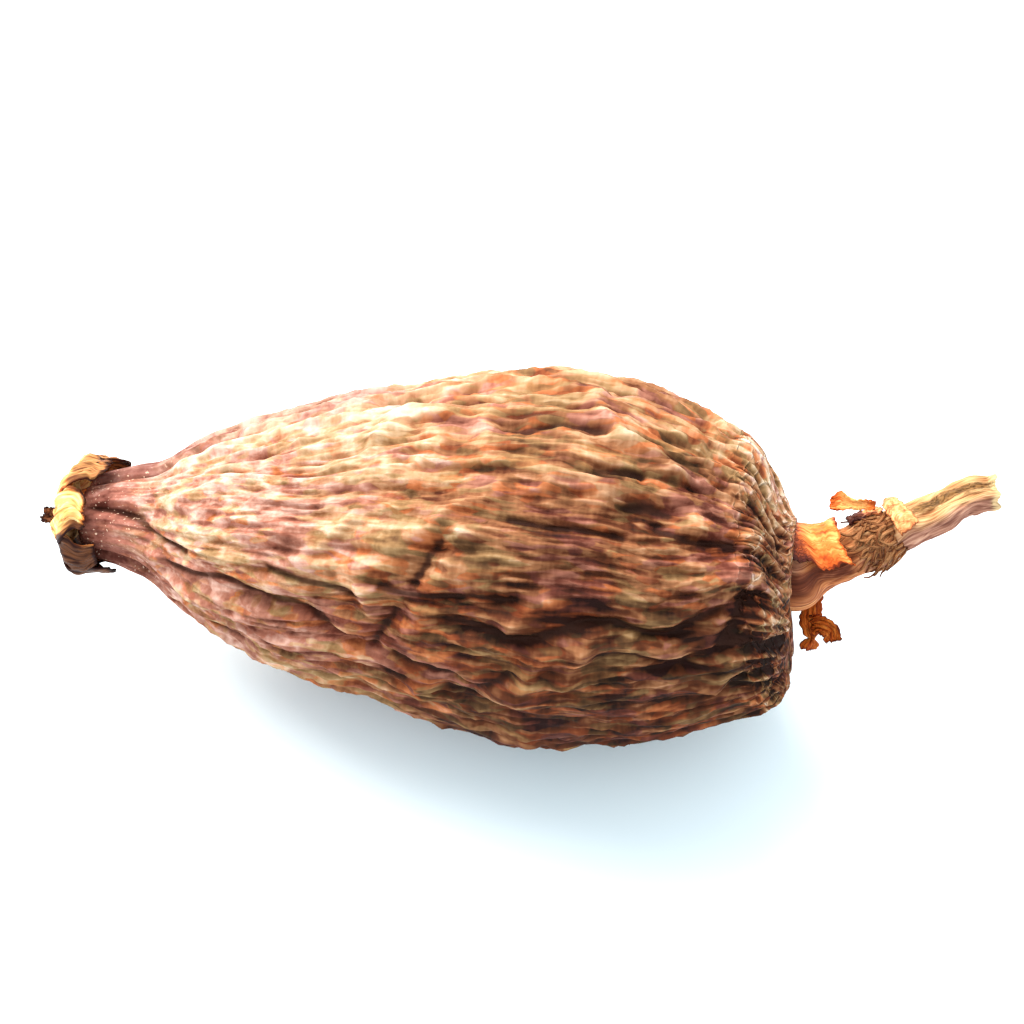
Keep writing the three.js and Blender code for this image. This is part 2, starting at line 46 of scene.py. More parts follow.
# Driving dimensions of the pod, as in its solids.
NECK_TIP = -1.4
POD_END = 66.5
BELLY_RADIUS = 17.7
BELLY_PLACE = 43
NECK_RADIUS = 4.9
HOLLOW_RADIUS = 4.7
HOLLOW_DEPTH = 1.8
POD_RISE = np.radians(4)
FLAT_DEPTH = 0.75
FACE_ELEVATION = np.radians(60)
CALYX_OFFSET = 0.3
STALK_OFFSET = 2.4
END_LEAN = 0.15
SAG, SAG_PLACE, SAG_REACH, SAG_ANGLE = 1.0, 35, 6, np.radians(210)
ORIGIN_ALONG, ORIGIN_ASIDE = 39.355, 0.976
DEEPEST_WRINKLE, HIGHEST_WRINKLE = 1.15, 0.9

# Relief of the skin: the lobes, folds and cross folds that its solid has too, then what only this surface has:
# tight, thin and barred finer folds, and a narrow crease along each single wrinkle.
LOBE_HEIGHT = 0.4
FOLD_HEIGHT, FOLDS_ROUND, FOLD_LENGTH, FOLD_BEND = 0.9, 5, 20, 0.07
CROSS_HEIGHT, CROSS_ROUND, CROSS_LENGTH = 0.4, 2.3, 6.5
TIGHT_HEIGHT, TIGHT_ROUND, TIGHT_LENGTH = 0.42, 9, 10
THIN_HEIGHT, THIN_FEW, THIN_MANY = 0.46, 8, 21
BAR_HEIGHT, BAR_ROUND, BAR_LENGTH = 0.2, 6, 1.9
CREASE_REACH, CREASE_DEPTH, CREST_SHARE = 0.42, 0.3, 0.35
ROUTE_BEND = 0.07

# Single wrinkles: height, half width, and a route of (millimetres along the pod, degrees round it).
WRINKLES = [
    (-1.1, 1.0, [(37, -22), (43, -23), (47, -20), (52, -16), (57, -17), (61, -14)]),
    (-1.0, 1.0, [(9, -28), (15, -24), (19, -25), (23, -28), (26, -32), (28, -36)]),
    (-0.8, 0.9, [(20, -10), (24, -14), (28, -19)]),
    (-0.5, 0.8, [(31, -13), (38, -12), (43, -11)]),
    (-0.8, 1.4, [(36, 3), (35, -3), (34, -8)]),
    (-1.0, 1.6, [(32, -21), (31, -29), (30, -39)]),
    (-0.8, 1.0, [(32, -40), (36, -41), (40, -42), (43, -36)]),
    (-1.0, 1.7, [(37, -50), (42, -54)]),
    (-0.7, 0.9, [(51, -28), (54, -27), (58, -30)]),
    (-1.0, 1.3, [(63, -5), (62, -18), (61, -28)]),
    (-1.1, 1.2, [(59, -27), (62, -26), (65, -28)]),
    (-0.8, 1.2, [(61, -49), (62, -45)]),
    (-0.7, 0.9, [(49, 31), (53, 30)]),
    (-0.9, 1.5, [(52, 21), (56, 22)]),
    (-0.7, 0.9, [(55, 16), (59, 11), (62, 13)]),
    (-0.8, 0.9, [(49, 67), (53, 72), (58, 79)]),
    (-0.9, 1.0, [(28, 67), (33, 60), (37, 58), (41, 61), (46, 63)]),
    (-0.6, 0.8, [(40, 43), (45, 45), (49, 46)]),
    (-0.6, 0.8, [(42, 10), (47, 11), (52, 12)]),
    (-0.6, 0.8, [(-1, 14), (3, 8), (7, -6), (11, -14)]),
    (-0.8, 0.9, [(-1, 60), (6, 66), (13, 76)]),
    (-0.7, 0.9, [(-1, -58), (8, -64), (16, -62)]),
    (0.8, 1.1, [(32, -1), (35, 6), (37, 13), (40, 18)]),
    (0.6, 0.9, [(23, -7), (25, -1), (28, 12)]),
    (0.6, 1.5, [(29, -5), (29, -13), (30, -22)]),
    (0.7, 1.0, [(43, -19), (45, -12), (47, -8)]),
    (0.7, 1.0, [(38, 5), (42, 5), (48, 6)]),
    (0.7, 1.4, [(48, -35), (49, -28), (50, -21)]),
    (0.7, 1.4, [(44, -43), (45, -32), (46, -27)]),
    (0.7, 1.4, [(56, -18), (58, -12), (59, -4), (62, 6)]),
    (0.7, 1.4, [(61, -15), (60, -26), (61, -37), (60, -46)]),
    (0.7, 1.1, [(28, 40), (31, 54), (35, 49)]),
    (0.6, 1.0, [(47, 58), (51, 44), (56, 37)]),
]

# The stalk and what clings to it.
STALK_START = 65.2
STALK_ROOT_RADIUS = 3.8
NODE_SHARE = 0.42
CLEARANCE = 0.35
CALYX_RADIUS = 5.55
CALYX_LOBES = 7
FIBRE_COUNT = 72
PAPER = 0.22

# How finely the surfaces are divided.
POD_RINGS, POD_SIDES = 176, 560
STALK_RINGS, STALK_SIDES = 240, 180

FACE = np.array([0, -np.cos(FACE_ELEVATION), np.sin(FACE_ELEVATION)])
ACROSS = np.array([0, np.sin(FACE_ELEVATION), np.cos(FACE_ELEVATION)])
AXIS_HEIGHT = BELLY_RADIUS * np.cos(POD_RISE) - BELLY_PLACE * np.sin(POD_RISE) - FLAT_DEPTH


def bell(x):
    """A bump of height 1: e to the power of minus x squared."""
    return np.exp(-x * x)


def ramp(x, low, high):
    """0 below low, 1 above high, and a smooth cubic between."""
    t = np.clip((x - low) / (high - low), 0, 1)
    return t * t * (3 - 2 * t)


def mix(a, b, share):
    """The value at a share of the way from a to b."""
    return a + (b - a) * share


def corner_slope(i, j, k, x, y, z):
    """The slope of a lattice corner, picked from 16 by a whole-number hash of its place, times the distance to it."""
    i, j, k = [(n & 0xFFFFFFFF).astype(np.uint32) for n in (i, j, k)]
    h = i * np.uint32(0x8DA6B343) ^ j * np.uint32(0xD8163841) ^ k * np.uint32(0xCB1AB31F)
    h = (h ^ (h >> np.uint32(15))) * np.uint32(0x2C1B3C6D)
    h = (h ^ (h >> np.uint32(12))) * np.uint32(0x297A2D39)
    way = (h ^ (h >> np.uint32(15))) & np.uint32(15)
    first = np.where(way < 8, x, y)
    second = np.where(way < 4, y, np.where((way == 12) | (way == 14), x, z))
    return np.where(way & 1, -first, first) + np.where(way & 2, -second, second)


def noise(x, y, z):
    """Gradient noise from about -1 to 1: the eight corners' slopes, blended with the curve 6t^5 - 15t^4 + 10t^3."""
    x, y, z = np.broadcast_arrays(*[np.asarray(v, float) for v in (x, y, z)])
    i, j, k = [np.floor(v).astype(np.int64) for v in (x, y, z)]
    x, y, z = x - i, y - j, z - k
    u, v, w = [t * t * t * (t * (t * 6 - 15) + 10) for t in (x, y, z)]

    def edge(b, c):
        ends = [corner_slope(i + a, j + b, k + c, x - a, y - b, z - c) for a in (0, 1)]
        return mix(*ends, u)

    return mix(mix(edge(0, 0), edge(1, 0), v), mix(edge(0, 1), edge(1, 1), v), w)


def noise_round(along, angle, rounds):
    """Noise that closes on itself round the pod: it has about 6 times `rounds` cells in one turn."""
    return noise(along, rounds * np.cos(angle), rounds * np.sin(angle))


class Line:
    """A smooth line through points, sampled 1200 times.

    Each stretch is the cubic through its two points. Its slopes there are weighted by the steps on both sides: by
    their square roots where rounded, and else by 1. The ends go straight on.
    """

    def __init__(self, points, rounded=False):
        points = np.array(points, float)
        p = np.vstack([2 * points[0] - points[1], points, 2 * points[-1] - points[-2]])
        t = np.linspace(0, len(points) - 1, 1201)
        i = np.minimum(t.astype(int), len(points) - 2)
        f = (t - i)[:, None]
        p0, p1, p2, p3 = p[i], p[i + 1], p[i + 2], p[i + 3]

        def step(a, b):
            return np.sqrt(np.linalg.norm(b - a, axis=1, keepdims=True)) if rounded else 1.0

        d0, d1, d2 = step(p0, p1), step(p1, p2), step(p2, p3)
        m1 = ((p1 - p0) / d0 - (p2 - p0) / (d0 + d1) + (p2 - p1) / d1) * d1
        m2 = ((p2 - p1) / d1 - (p3 - p1) / (d1 + d2) + (p3 - p2) / d2) * d1
        rest = (3 * (p2 - p1) - 2 * m1 - m2) * f**2 + (2 * (p1 - p2) + m1 + m2) * f**3
        self.points = p1 + m1 * f + rest
        walked = np.r_[0, np.cumsum(np.linalg.norm(np.diff(self.points, axis=0), axis=1))]
        self.length = walked[-1]
        self.shares = walked / self.length
        ways = np.gradient(self.points, axis=0)
        self.ways = ways / np.linalg.norm(ways, axis=1, keepdims=True)

    def at(self, share):
        """The point at a share of the line's length."""
        return np.stack([np.interp(share, self.shares, c) for c in self.points.T], -1)

    def way(self, share):
        """The direction at a share of the line's length."""
        return np.stack([np.interp(share, self.shares, c) for c in self.ways.T], -1)

    def height(self, place):
        """The second coordinate where the first is place."""
        return np.interp(place, self.points[:, 0], self.points[:, 1])


def on_ray(along, radius, angle):
    """A point at a place along the pod's axis, at a radius and an angle that starts from the face."""
    along, radius, angle = np.broadcast_arrays(along, radius, angle)
    out = np.cos(angle)[..., None] * FACE + np.sin(angle)[..., None] * ACROSS
    return along[..., None] * np.array([1.0, 0, 0]) + radius[..., None] * out


def in_pod(points):
    """Points given as (along, across, towards the face), in the pod's own frame."""
    points = np.array(points, float)
    return points[:, :1] * np.array([1.0, 0, 0]) + points[:, 1:2] * ACROSS + points[:, 2:] * FACE


def lay(points):
    """Takes points from the pod's own frame to where the pod lies: a turn about Y by its rise, then a move."""
    x, y, z = np.moveaxis(points, -1, 0)
    cos, sin = np.cos(POD_RISE), np.sin(POD_RISE)
    return np.stack([x * cos - z * sin - ORIGIN_ALONG, y - ORIGIN_ASIDE, x * sin + z * cos + AXIS_HEIGHT], -1)


OUTLINE = Line([
    (NECK_TIP, 0, CALYX_OFFSET),
    (NECK_TIP, 0.42 * NECK_RADIUS, CALYX_OFFSET),
    (NECK_TIP + 0.6, 0.72 * NECK_RADIUS, CALYX_OFFSET),
    (0.4, 0.87 * NECK_RADIUS, 0.4),
    (3, NECK_RADIUS, 0.6),
    (6, 1.18 * NECK_RADIUS, 0.45),
    (9.5, 0.455 * BELLY_RADIUS, 0.27),
    (14, 0.585 * BELLY_RADIUS, 0.15),
    (20, 0.72 * BELLY_RADIUS, 0.17),
    (28, 0.82 * BELLY_RADIUS, 0.6),
    (36, 0.93 * BELLY_RADIUS, 0.75),
    (BELLY_PLACE, BELLY_RADIUS, 0.9),
    (50, 0.96 * BELLY_RADIUS, 1.05),
    (56, 0.87 * BELLY_RADIUS, 0.75),
    (60.5, 0.77 * BELLY_RADIUS, 1.1),
    (63.9, 0.67 * BELLY_RADIUS, 1.2),
    (66, 0.45 * BELLY_RADIUS, -0.1),
    (POD_END, 1.25 * HOLLOW_RADIUS, 1.3),
    (POD_END - 0.5 * HOLLOW_DEPTH, HOLLOW_RADIUS, STALK_OFFSET),
    (POD_END - HOLLOW_DEPTH, 0.75 * HOLLOW_RADIUS, STALK_OFFSET),
    (POD_END - HOLLOW_DEPTH, 0, STALK_OFFSET),
])


def distance_to_route(route, along, angle, radius):
    """The distance from places on the skin to the nearest stretch of a wrinkle's route, laid out flat there."""
    least = np.full(np.shape(along), np.inf)
    for (x0, y0), (x1, y1) in zip(route, route[1:]):
        y0, y1 = np.radians(y0) * radius, np.radians(y1) * radius
        dx, dy = x1 - x0, y1 - y0
        t = np.clip(((along - x0) * dx + (angle * radius - y0) * dy) / (dx * dx + dy * dy), 0, 1)
        least = np.minimum(least, np.hypot(along - x0 - t * dx, angle * radius - y0 - t * dy))
    return least


def pod_relief(walked, along, angle, radius):
    """The skin's relief: slow lobes; folds and cross folds, whose furrows lie where noise crosses 0; the
    single wrinkles, each a bell of the distance to its route, with a narrower bell as its crease; and finer
    folds of the same kind. It fades at both ends.

    Gives the whole height, the height of the folds and wrinkles, that of the finer folds, the crease from -1
    in a furrow to 1 on a crest, and the turned angle.
    """
    left = OUTLINE.length - walked
    edges = ramp(walked, 2.5, 6) * ramp(left, 6.5, 10.5)
    growth = 0.3 + 0.7 * ramp(along, 0, 15)
    turned = angle + FOLD_BEND * noise_round(walked / 11 + 5, angle, 2)
    lobes = LOBE_HEIGHT * np.cos(3 * angle + 0.9)
    folds = FOLD_HEIGHT * (0.36 - 1.9 * np.abs(noise_round(walked / FOLD_LENGTH, turned, FOLDS_ROUND)))
    cross = CROSS_HEIGHT * (0.3 - 1.6 * np.abs(noise_round(walked / CROSS_LENGTH + 31, turned, CROSS_ROUND)))
    wavy = np.arctan2(np.sin(angle), np.cos(angle)) + ROUTE_BEND * noise_round(walked / 6 + 60, angle, 3)
    wide = np.maximum(radius, 1)
    single, crease = 0, 0
    for height, reach, route in WRINKLES:
        distance = distance_to_route(route, along, wavy, wide)
        single = single + height * bell(distance / reach)
        crease = crease + (CREST_SHARE if height > 0 else -1) * bell(distance / CREASE_REACH)
    single = np.clip(single, -DEEPEST_WRINKLE, HIGHEST_WRINKLE)
    crease = np.clip(crease, -1, 1)
    tight = noise_round(walked / TIGHT_LENGTH + 17, turned, TIGHT_ROUND)
    tight = TIGHT_HEIGHT * (0.34 - 1.9 * np.abs(tight))
    few = noise_round(walked / 5 + 29, turned, THIN_FEW)
    many = noise_round(walked / 4.2 + 43, turned, THIN_MANY)
    thin = THIN_HEIGHT * (0.3 - 1.8 * np.abs(mix(few, many, ramp(radius, 7, 12))))
    bars = BAR_HEIGHT * (0.3 - 1.8 * np.abs(noise_round(walked / BAR_LENGTH + 71, turned, BAR_ROUND)))
    fine = tight + thin + bars
    fine = fine * (0.2 + 0.8 * ramp(along, 1, 14))
    coarse = growth * (folds + cross) + single
    whole = edges * (growth * lobes + coarse + fine + CREASE_DEPTH * crease)
    return whole, edges * coarse, edges * fine, edges * crease, turned


def pod_skin(walked, angle):
    """The outline carried round the pod, with the relief along its outward normal. The relief fades out round the
    flat spot, which is pressed level. Gives the points and the places that the finish reads."""
    at, way = OUTLINE.at(walked / OUTLINE.length), OUTLINE.way(walked / OUTLINE.length)[..., :2]
    way = way / np.linalg.norm(way, axis=-1, keepdims=True)
    along, radius, offset = np.moveaxis(at, -1, 0)
    sag = SAG * bell((along - SAG_PLACE) / SAG_REACH) * np.maximum(0, np.cos(angle - SAG_ANGLE)) ** 3
    lean = END_LEAN * radius * np.sin(angle) * ramp(along, 56, 64) * ramp(radius, HOLLOW_RADIUS, 9)

    def place(rise):
        out = np.maximum(0, radius + sag + way[..., 0] * rise)
        return lay(on_ray(along - lean - way[..., 1] * rise, out, angle) + offset[..., None] * ACROSS)

    whole, coarse, fine, crease, turned = pod_relief(walked, along, angle, radius)
    skin = place(whole * ramp(place(0 * walked)[..., 2], 0, 1.4))
    skin[..., 2] = np.maximum(skin[..., 2], 0)
    wide = np.maximum(radius, 0.5) ** 0.8 * BELLY_RADIUS**0.2
    unrolled = np.stack([walked, wide * np.cos(turned), wide * np.sin(turned)], -1)
    places = {"unrolled": unrolled, "fold": coarse, "fine": fine, "crease": crease, "along": along}
    return skin, {**places, "turn": np.sin(angle)}


def grid_faces(rows, columns, closed):
    """The quads of a grid of points in rows, closed round each row or not."""
    i, j = np.meshgrid(np.arange(rows - 1), np.arange(columns if closed else columns - 1), indexing="ij")
    a, d = i * columns + j, i * columns + (j + 1) % columns
    return np.stack([a, a + columns, d + columns, d], -1).reshape(-1, 4)


def pole_faces(pole, row, columns, inward):
    """The triangles from a middle point to a closed row whose first point is given."""
    j = np.arange(columns)
    ring = [row + j, row + (j + 1) % columns]
    first, second = ring[::-1] if inward else ring
    return np.stack([np.full(columns, pole), first, second], -1)


def new_piece(name, shape, finish, node):
    """Makes a piece in metres from a shape in millimetres where the pod lies: its points, its faces and the
    places that its finish reads, each as an attribute. The piece stands for its CAD node."""
    points, faces, places = shape
    mesh = bpy.data.meshes.new(name)
    mesh.from_pydata((points * MM).tolist(), [], [face for kind in faces for face in kind.tolist()])
    for key, values in places.items():
        kind = "FLOAT_VECTOR" if values.ndim == 2 else "FLOAT"
        layer = mesh.attributes.new(key, kind, "POINT")
        layer.data.foreach_set("vector" if values.ndim == 2 else "value", values.astype(np.float32).ravel())
    mesh.shade_smooth()
    mesh.update()
    mesh.materials.append(finish)
    piece = bpy.data.objects.new(name, mesh)
    bpy.context.scene.collection.objects.link(piece)
    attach(piece, "root")
    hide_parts(node)
    return piece


def flat_places(places):
    """Each place as one row a point."""
    return {key: v.reshape(-1, 3) if v.ndim == 3 else v.reshape(-1) for key, v in places.items()}


def joined_sheets(sheets):
    """Several closed sheets as one mesh: points, faces and places put one after another."""
    starts = np.cumsum([0] + [len(points) for points, _, _ in sheets])
    points = np.concatenate([points for points, _, _ in sheets])
    faces = [face + start for (_, faces, _), start in zip(sheets, starts) for face in faces]
    places = {key: np.concatenate([p[key] for _, _, p in sheets]) for key in sheets[0][2]}
    return points, faces, places


def paper(point, along, across, thickness=PAPER, tone=None):
    """A closed thin sheet about the surface point(u, w), with u from 0 to 1 along it and w from -1 to 1
    across it. Both faces are the surface moved out by half the thickness along its normal, and a rim joins
    them."""
    u, w = np.meshgrid(np.linspace(0, 1, along + 1), np.linspace(-1, 1, across + 1), indexing="ij")
    step = 1e-3
    middle = point(u, w)
    slope_u, slope_w = point(u + step, w) - point(u - step, w), point(u, w + step) - point(u, w - step)
    normal = np.cross(slope_u, slope_w)
    normal /= np.maximum(np.linalg.norm(normal, axis=-1, keepdims=True), 1e-12)
    both = [middle + side * thickness / 2 * normal for side in (1, -1)]
    count = u.size
    quads = grid_faces(along + 1, across + 1, False)
    index = np.arange(count).reshape(along + 1, across + 1)
    rim = np.concatenate([index[:-1, 0], index[-1, :-1], index[:0:-1, -1], index[0, :0:-1]])
    after = np.roll(rim, -1)
    sides = np.stack([rim, rim + count, after + count, after], -1)
    edge = np.minimum(np.minimum(u, 1 - u) * 2, 1 - np.abs(w))
    grain = np.stack([u, w, 0 * u], -1)
    shade = 0 * u if tone is None else tone(u, w)
    places = {
        "grain": np.concatenate([grain.reshape(-1, 3), (grain + [0, 0, 1]).reshape(-1, 3)]),
        "edge": np.tile(edge.ravel(), 2),
        "tone": np.tile(shade.ravel(), 2),
        "under": np.repeat([0.0, 1.0], count),
    }
    return lay(np.concatenate(both).reshape(-1, 3)), [quads, quads[:, ::-1] + count, sides], places


STALK_LINE = Line(
    in_pod([
        (STALK_START, STALK_OFFSET, 0),
        (66.6, STALK_OFFSET, 0),
        (68.4, 3.1, 0),
        (71.1, 4.3, 0.1),
        (73.9, 5.9, 0.1),
        (76.7, 7.65, -0.2),
        (79.1, 9.1, -0.5),
        (81.5, 10.7, -0.9),
        (84.6, 11.55, -1.3),
    ]),
    rounded=True,
)
STALK_WIDTH = Line([
    (0, 0.92 * STALK_ROOT_RADIUS),
    (0.08, STALK_ROOT_RADIUS),
    (0.18, 2.65),
    (0.3, 2.35),
    (0.4, 2.3),
    (0.55, 2.0),
    (0.72, 1.85),
    (0.86, 1.65),
    (1, 1.5),
])


def stalk_point(share, angle, out, radius=None):
    """A point at a share of the stalk's length, an angle round it and a distance out from its skin."""
    share, angle, out = np.broadcast_arrays(*[np.asarray(v, float) for v in (share, angle, out)])
    inside = np.clip(share, 0, 1)
    middle, way = STALK_LINE.at(inside), STALK_LINE.way(inside)
    way = way / np.linalg.norm(way, axis=-1, keepdims=True)
    face = FACE - (way @ FACE)[..., None] * way
    face /= np.linalg.norm(face, axis=-1, keepdims=True)
    across = np.cross(face, way)
    across /= np.linalg.norm(across, axis=-1, keepdims=True)
    reach = (STALK_WIDTH.height(inside) if radius is None else radius) + out
    return middle + (reach * np.cos(angle))[..., None] * face + (reach * np.sin(angle))[..., None] * across


def stalk_relief(share, angle):
    """Ribs as a cosine and noise round the stalk, the channel between its two strands, the swelling at its
    node, knuckles beyond it, and fine fibres: noise that changes fast round the stalk and slowly along it.
    Also gives the fibres alone."""
    ribs = 0.09 * np.cos(7 * angle + 3 * share) + 0.16 * noise_round(share * 3 + 12, angle, 1.6)
    channel = -0.6 * bell((angle - np.radians(35)) / 0.32) * ramp(share, 0.55, 0.75)
    node = 0.25 * bell((share - NODE_SHARE) / 0.05)
    wavy = angle + (0.12 + 0.2 * ramp(share, 0.55, 0.7)) * noise_round(share * 6, angle, 1)
    fibres = 0.3 - 1.5 * np.abs(noise_round(share * 9 + 3, wavy, 3.4))
    fibres = fibres + 0.5 * noise_round(share * 14 + 8, wavy, 8)
    crumbs = 0.35 * bell((share - NODE_SHARE - 0.01) / 0.07) * noise_round(share * 40, angle, 5)
    knuckles = 0.3 * ramp(share, 0.64, 0.76) * noise_round(share * 12 + 20, angle, 1.3)
    return ribs + channel + node + 0.16 * fibres + crumbs + knuckles, fibres


def stalk_shape():
    """The stalk's skin: rings carried along its middle line, drawn in to a middle point at both ends. The
    last ring stands at a ragged share of the length, where the stalk broke off. The grain that its finish
    reads wanders round the stalk."""
    share = np.linspace(0, 1, STALK_RINGS)
    share, angle = np.meshgrid(share, 2 * np.pi * np.arange(STALK_SIDES) / STALK_SIDES, indexing="ij")
    out, fibres = stalk_relief(share, angle)
    ragged = 0.05 * noise_round(7, angle, 1.4) + 0.02 * noise_round(3, angle, 5) - 0.03
    place = share + ragged * ramp(share, 0.93, 1)
    body = stalk_point(place, angle, out).reshape(-1, 3)
    core = []
    for depth, width in ((0.008, 0.72), (0.03, 0.4)):
        last = place[-1] - depth - 0.02 * np.abs(noise_round(5, angle[-1], 3))
        core.append(stalk_point(last, angle[-1], 0, width * (STALK_WIDTH.height(1) + out[-1])))
    ends = [stalk_point(0.93, 0, 0, 0)[None], stalk_point(0, 0, 0, 0)[None]]
    points = np.concatenate([body, *core, *ends])
    rows = STALK_RINGS + len(core)
    faces = [
        grid_faces(rows, STALK_SIDES, True),
        pole_faces(rows * STALK_SIDES + 1, 0, STALK_SIDES, False),
        pole_faces(rows * STALK_SIDES, (rows - 1) * STALK_SIDES, STALK_SIDES, True),
    ]
    extra = rows * STALK_SIDES + 2 - STALK_RINGS * STALK_SIDES
    drawn = angle + 0.35 * noise_round(share * 8 + 2, angle, 1.2)
    places = {
        "grain": np.stack([share, np.cos(drawn), np.sin(drawn)], -1).reshape(-1, 3),
        "fibre": fibres.ravel(),
        "channel": (bell((angle - np.radians(38)) / 0.42) * ramp(share, 0.52, 0.68)).ravel(),
    }
    places = {
        key: np.concatenate([v, np.repeat(v[-1:], extra, 0)]) for key, v in places.items()
    }
    return lay(points), faces, places


def node_fibre(i):
    """A frayed fibre at the stalk's node: a thin tapering strip that lies aslant along the skin and lifts at its
    tip."""
    start_angle = np.radians(-75 + 165 * ((i * 0.618) % 1)) + 0.1 * noise(i * 3.7, 1.3, 0.5)
    start = NODE_SHARE + 0.05 + 0.1 * noise(i * 1.7, 3.3, 0.5)
    reach = 0.09 + 0.06 * noise(i * 2.3, 7.1, 0.5)
    slant = 1.3 * noise(i * 2.9, 4.4, 0.5) - 0.2
    lift = 0.2 + 0.7 * abs(noise(i * 1.3, 8.8, 0.5))

    def point(u, w):
        angle = start_angle + slant * u + 0.2 * np.sin(5 * u + i) * u + w * 0.1 * (1 - 0.75 * u)
        return stalk_point(start - reach * u, angle, 0.12 + lift * u * u + 0.12 * np.sin(4 * u + 2 * i))

    return paper(point, 12, 2, thickness=0.14, tone=lambda u, w: 0 * u + 0.5 * ((i * 0.37) % 1) - 0.12)


def sheath(u, w):
    """The sheathing bract: a scale round the upper side of the stalk's foot, torn along its lower edge and creased
    lengthwise."""
    torn = 9 * np.abs(noise(u * 9, 4.4, 0.9)) + 5 * noise(u * 21, 2.2, 0.3)
    low = mix(16, -18, u) + 18 * noise(u * 4.1, 2.7, 0.4) - torn
    high = 165 + 8 * noise(u * 6, 8.1, 0.4)
    angle = np.radians(mix(low, high, (w + 1) / 2))
    end = 0.3 + 0.04 * noise(5.5, w * 2.2, 0.3) + 0.02 * noise(2.5, w * 9, 0.3)
    share = mix(0.058 + 0.008 * noise(w * 4, 1.1, 0.6), end, u)
    crease = 0.12 * (0.4 - 1.5 * np.abs(noise(u * 1.6 + 4, w * 5, 2.5))) + 0.1 * noise(u * 7, w * 6, 5.5)
    rise = 0.65 + 0.14 * noise(u * 3 + 9, w * 3, 1.5) + crease + 0.12 * u * u
    return stalk_point(share, angle, CLEARANCE + rise)


def ribbon(line, width, turn, cup, torn=0.25):
    """A ribbon of dry paper along a line, cupped and twisted as it goes: gives its surface as a function of u
    and w. Its half width is torn by noise, and the surface crumples by noise across it."""
    middle = Line(in_pod(line), rounded=True)

    def point(u, w):
        share = np.clip(u, 0, 1)
        way = middle.way(share)
        way = way / np.linalg.norm(way, axis=-1, keepdims=True)
        side = np.cross(way, FACE)
        side /= np.linalg.norm(side, axis=-1, keepdims=True)
        out = np.cross(side, way)
        spun = (turn * share)[..., None]
        across = side * np.cos(spun) + out * np.sin(spun)
        up = out * np.cos(spun) - side * np.sin(spun)
        ragged = 1 + 0.2 * noise(share * 5, w * 2, 4.4) + torn * noise(share * 14, np.sign(w) * 3.3, 1.4)
        half = width(share) * ragged * w
        rise = cup * w * w + 0.12 * noise(share * 4, w * 2, 9.1) + 0.09 * noise(share * 9, w * 4, 3.1)
        ends = 0.8 * noise(w * 5, 7.7, np.round(share)) * (share - 0.5)
        beyond = u - share + ends * ramp(np.abs(share - 0.5), 0.35, 0.5)
        aside = half[..., None] * across + rise[..., None] * up
        return middle.at(share) + beyond[..., None] * way + aside

    return point


def curl(u, w):
    """The curled scrap of bract above the stalk: a strip between a lower and an upper edge, each a function
    of u, that runs back towards the pod, bulges towards the face and lifts a torn tip at its far end."""
    start, length = 73.3, 4.0
    low = 8.7 - 0.4 * u + 0.12 * noise(u * 6, 1.7, 0.6) + 0.14 * noise(u * 17, 4.1, 0.6)
    high = 9.5 - 0.2 * u + 0.7 * bell((u - 0.8) / 0.15) + 0.14 * noise(u * 19, 8.3, 0.6)
    face = 1.1 + 0.6 * np.sin(np.pi * np.clip(u, 0, 1)) + 0.25 * w * w + 0.15 * noise(u * 4, w * 2, 9.1)
    face = face + 0.1 * noise(u * 11, w * 5, 3.1)
    end = 0.25 * noise(w * 4, 2.2, 0.7) * ramp(u, 0.8, 1)
    return (
        on_ray(start - length * u + end, 0 * u, 0 * u)
        + mix(low, high, (w + 1) / 2)[..., None] * ACROSS
        + face[..., None] * FACE
    )


HANGING_STRIP = ribbon(
    [(68.5, 0.1, -3.6), (68.5, -1.2, -3.6), (68.7, -2.7, -3.7), (68.9, -3.9, -4.0), (68.6, -5.0, -4.3)],
    width=lambda u: mix(1.0, 0.8, u) - 0.6 * bell((u - 0.78) / 0.07),
    turn=0.5,
    cup=-0.3,
)
HANGING_FORK = ribbon(
    [(68.7, -2.6, -3.5), (69.7, -2.5, -3.2), (70.6, -2.9, -3.3), (70.8, -3.9, -3.6)],
    width=lambda u: mix(0.9, 0.75, u),
    turn=-0.3,
    cup=0.2,
)


def flap(u, w):
    """The pale flap of leaf scar: a sheet that leaves the stalk just past the node and folds back over it."""
    angle = np.radians(mix(-10, 80, (w + 1) / 2)) + 0.2 * u + 0.1 * noise(u * 6, 3.1, w)
    share = mix(0.515, 0.59 - 0.02 * w, u) + 0.012 * noise(w * 3, 1.2, u) + 0.008 * noise(w * 9, 4.2, u * 3)
    rise = 0.35 + 0.3 * np.sin(np.pi * u) + 0.22 * noise(u * 2, w * 1.6, 6.6) + 0.04 * noise(u * 6, w * 6, 2.6)
    return stalk_point(share, angle, CLEARANCE + rise + 0.1)


def link(u, w):
    """Crumpled paper between the curled scrap and the node: a sheet that stands off the upper side of the
    stalk."""
    angle = np.radians(mix(62, 108, (w + 1) / 2)) + 0.2 * noise(u * 5, 6.1, w)
    share = mix(0.36, 0.5, u) + 0.02 * noise(w * 4, 5.2, u * 2)
    rise = 0.5 + 0.35 * ramp(w, -0.5, 1) + 0.3 * noise(u * 4, w * 3, 1.6) + 0.12 * noise(u * 9, w * 8, 2.6)
    return stalk_point(share, angle, rise)


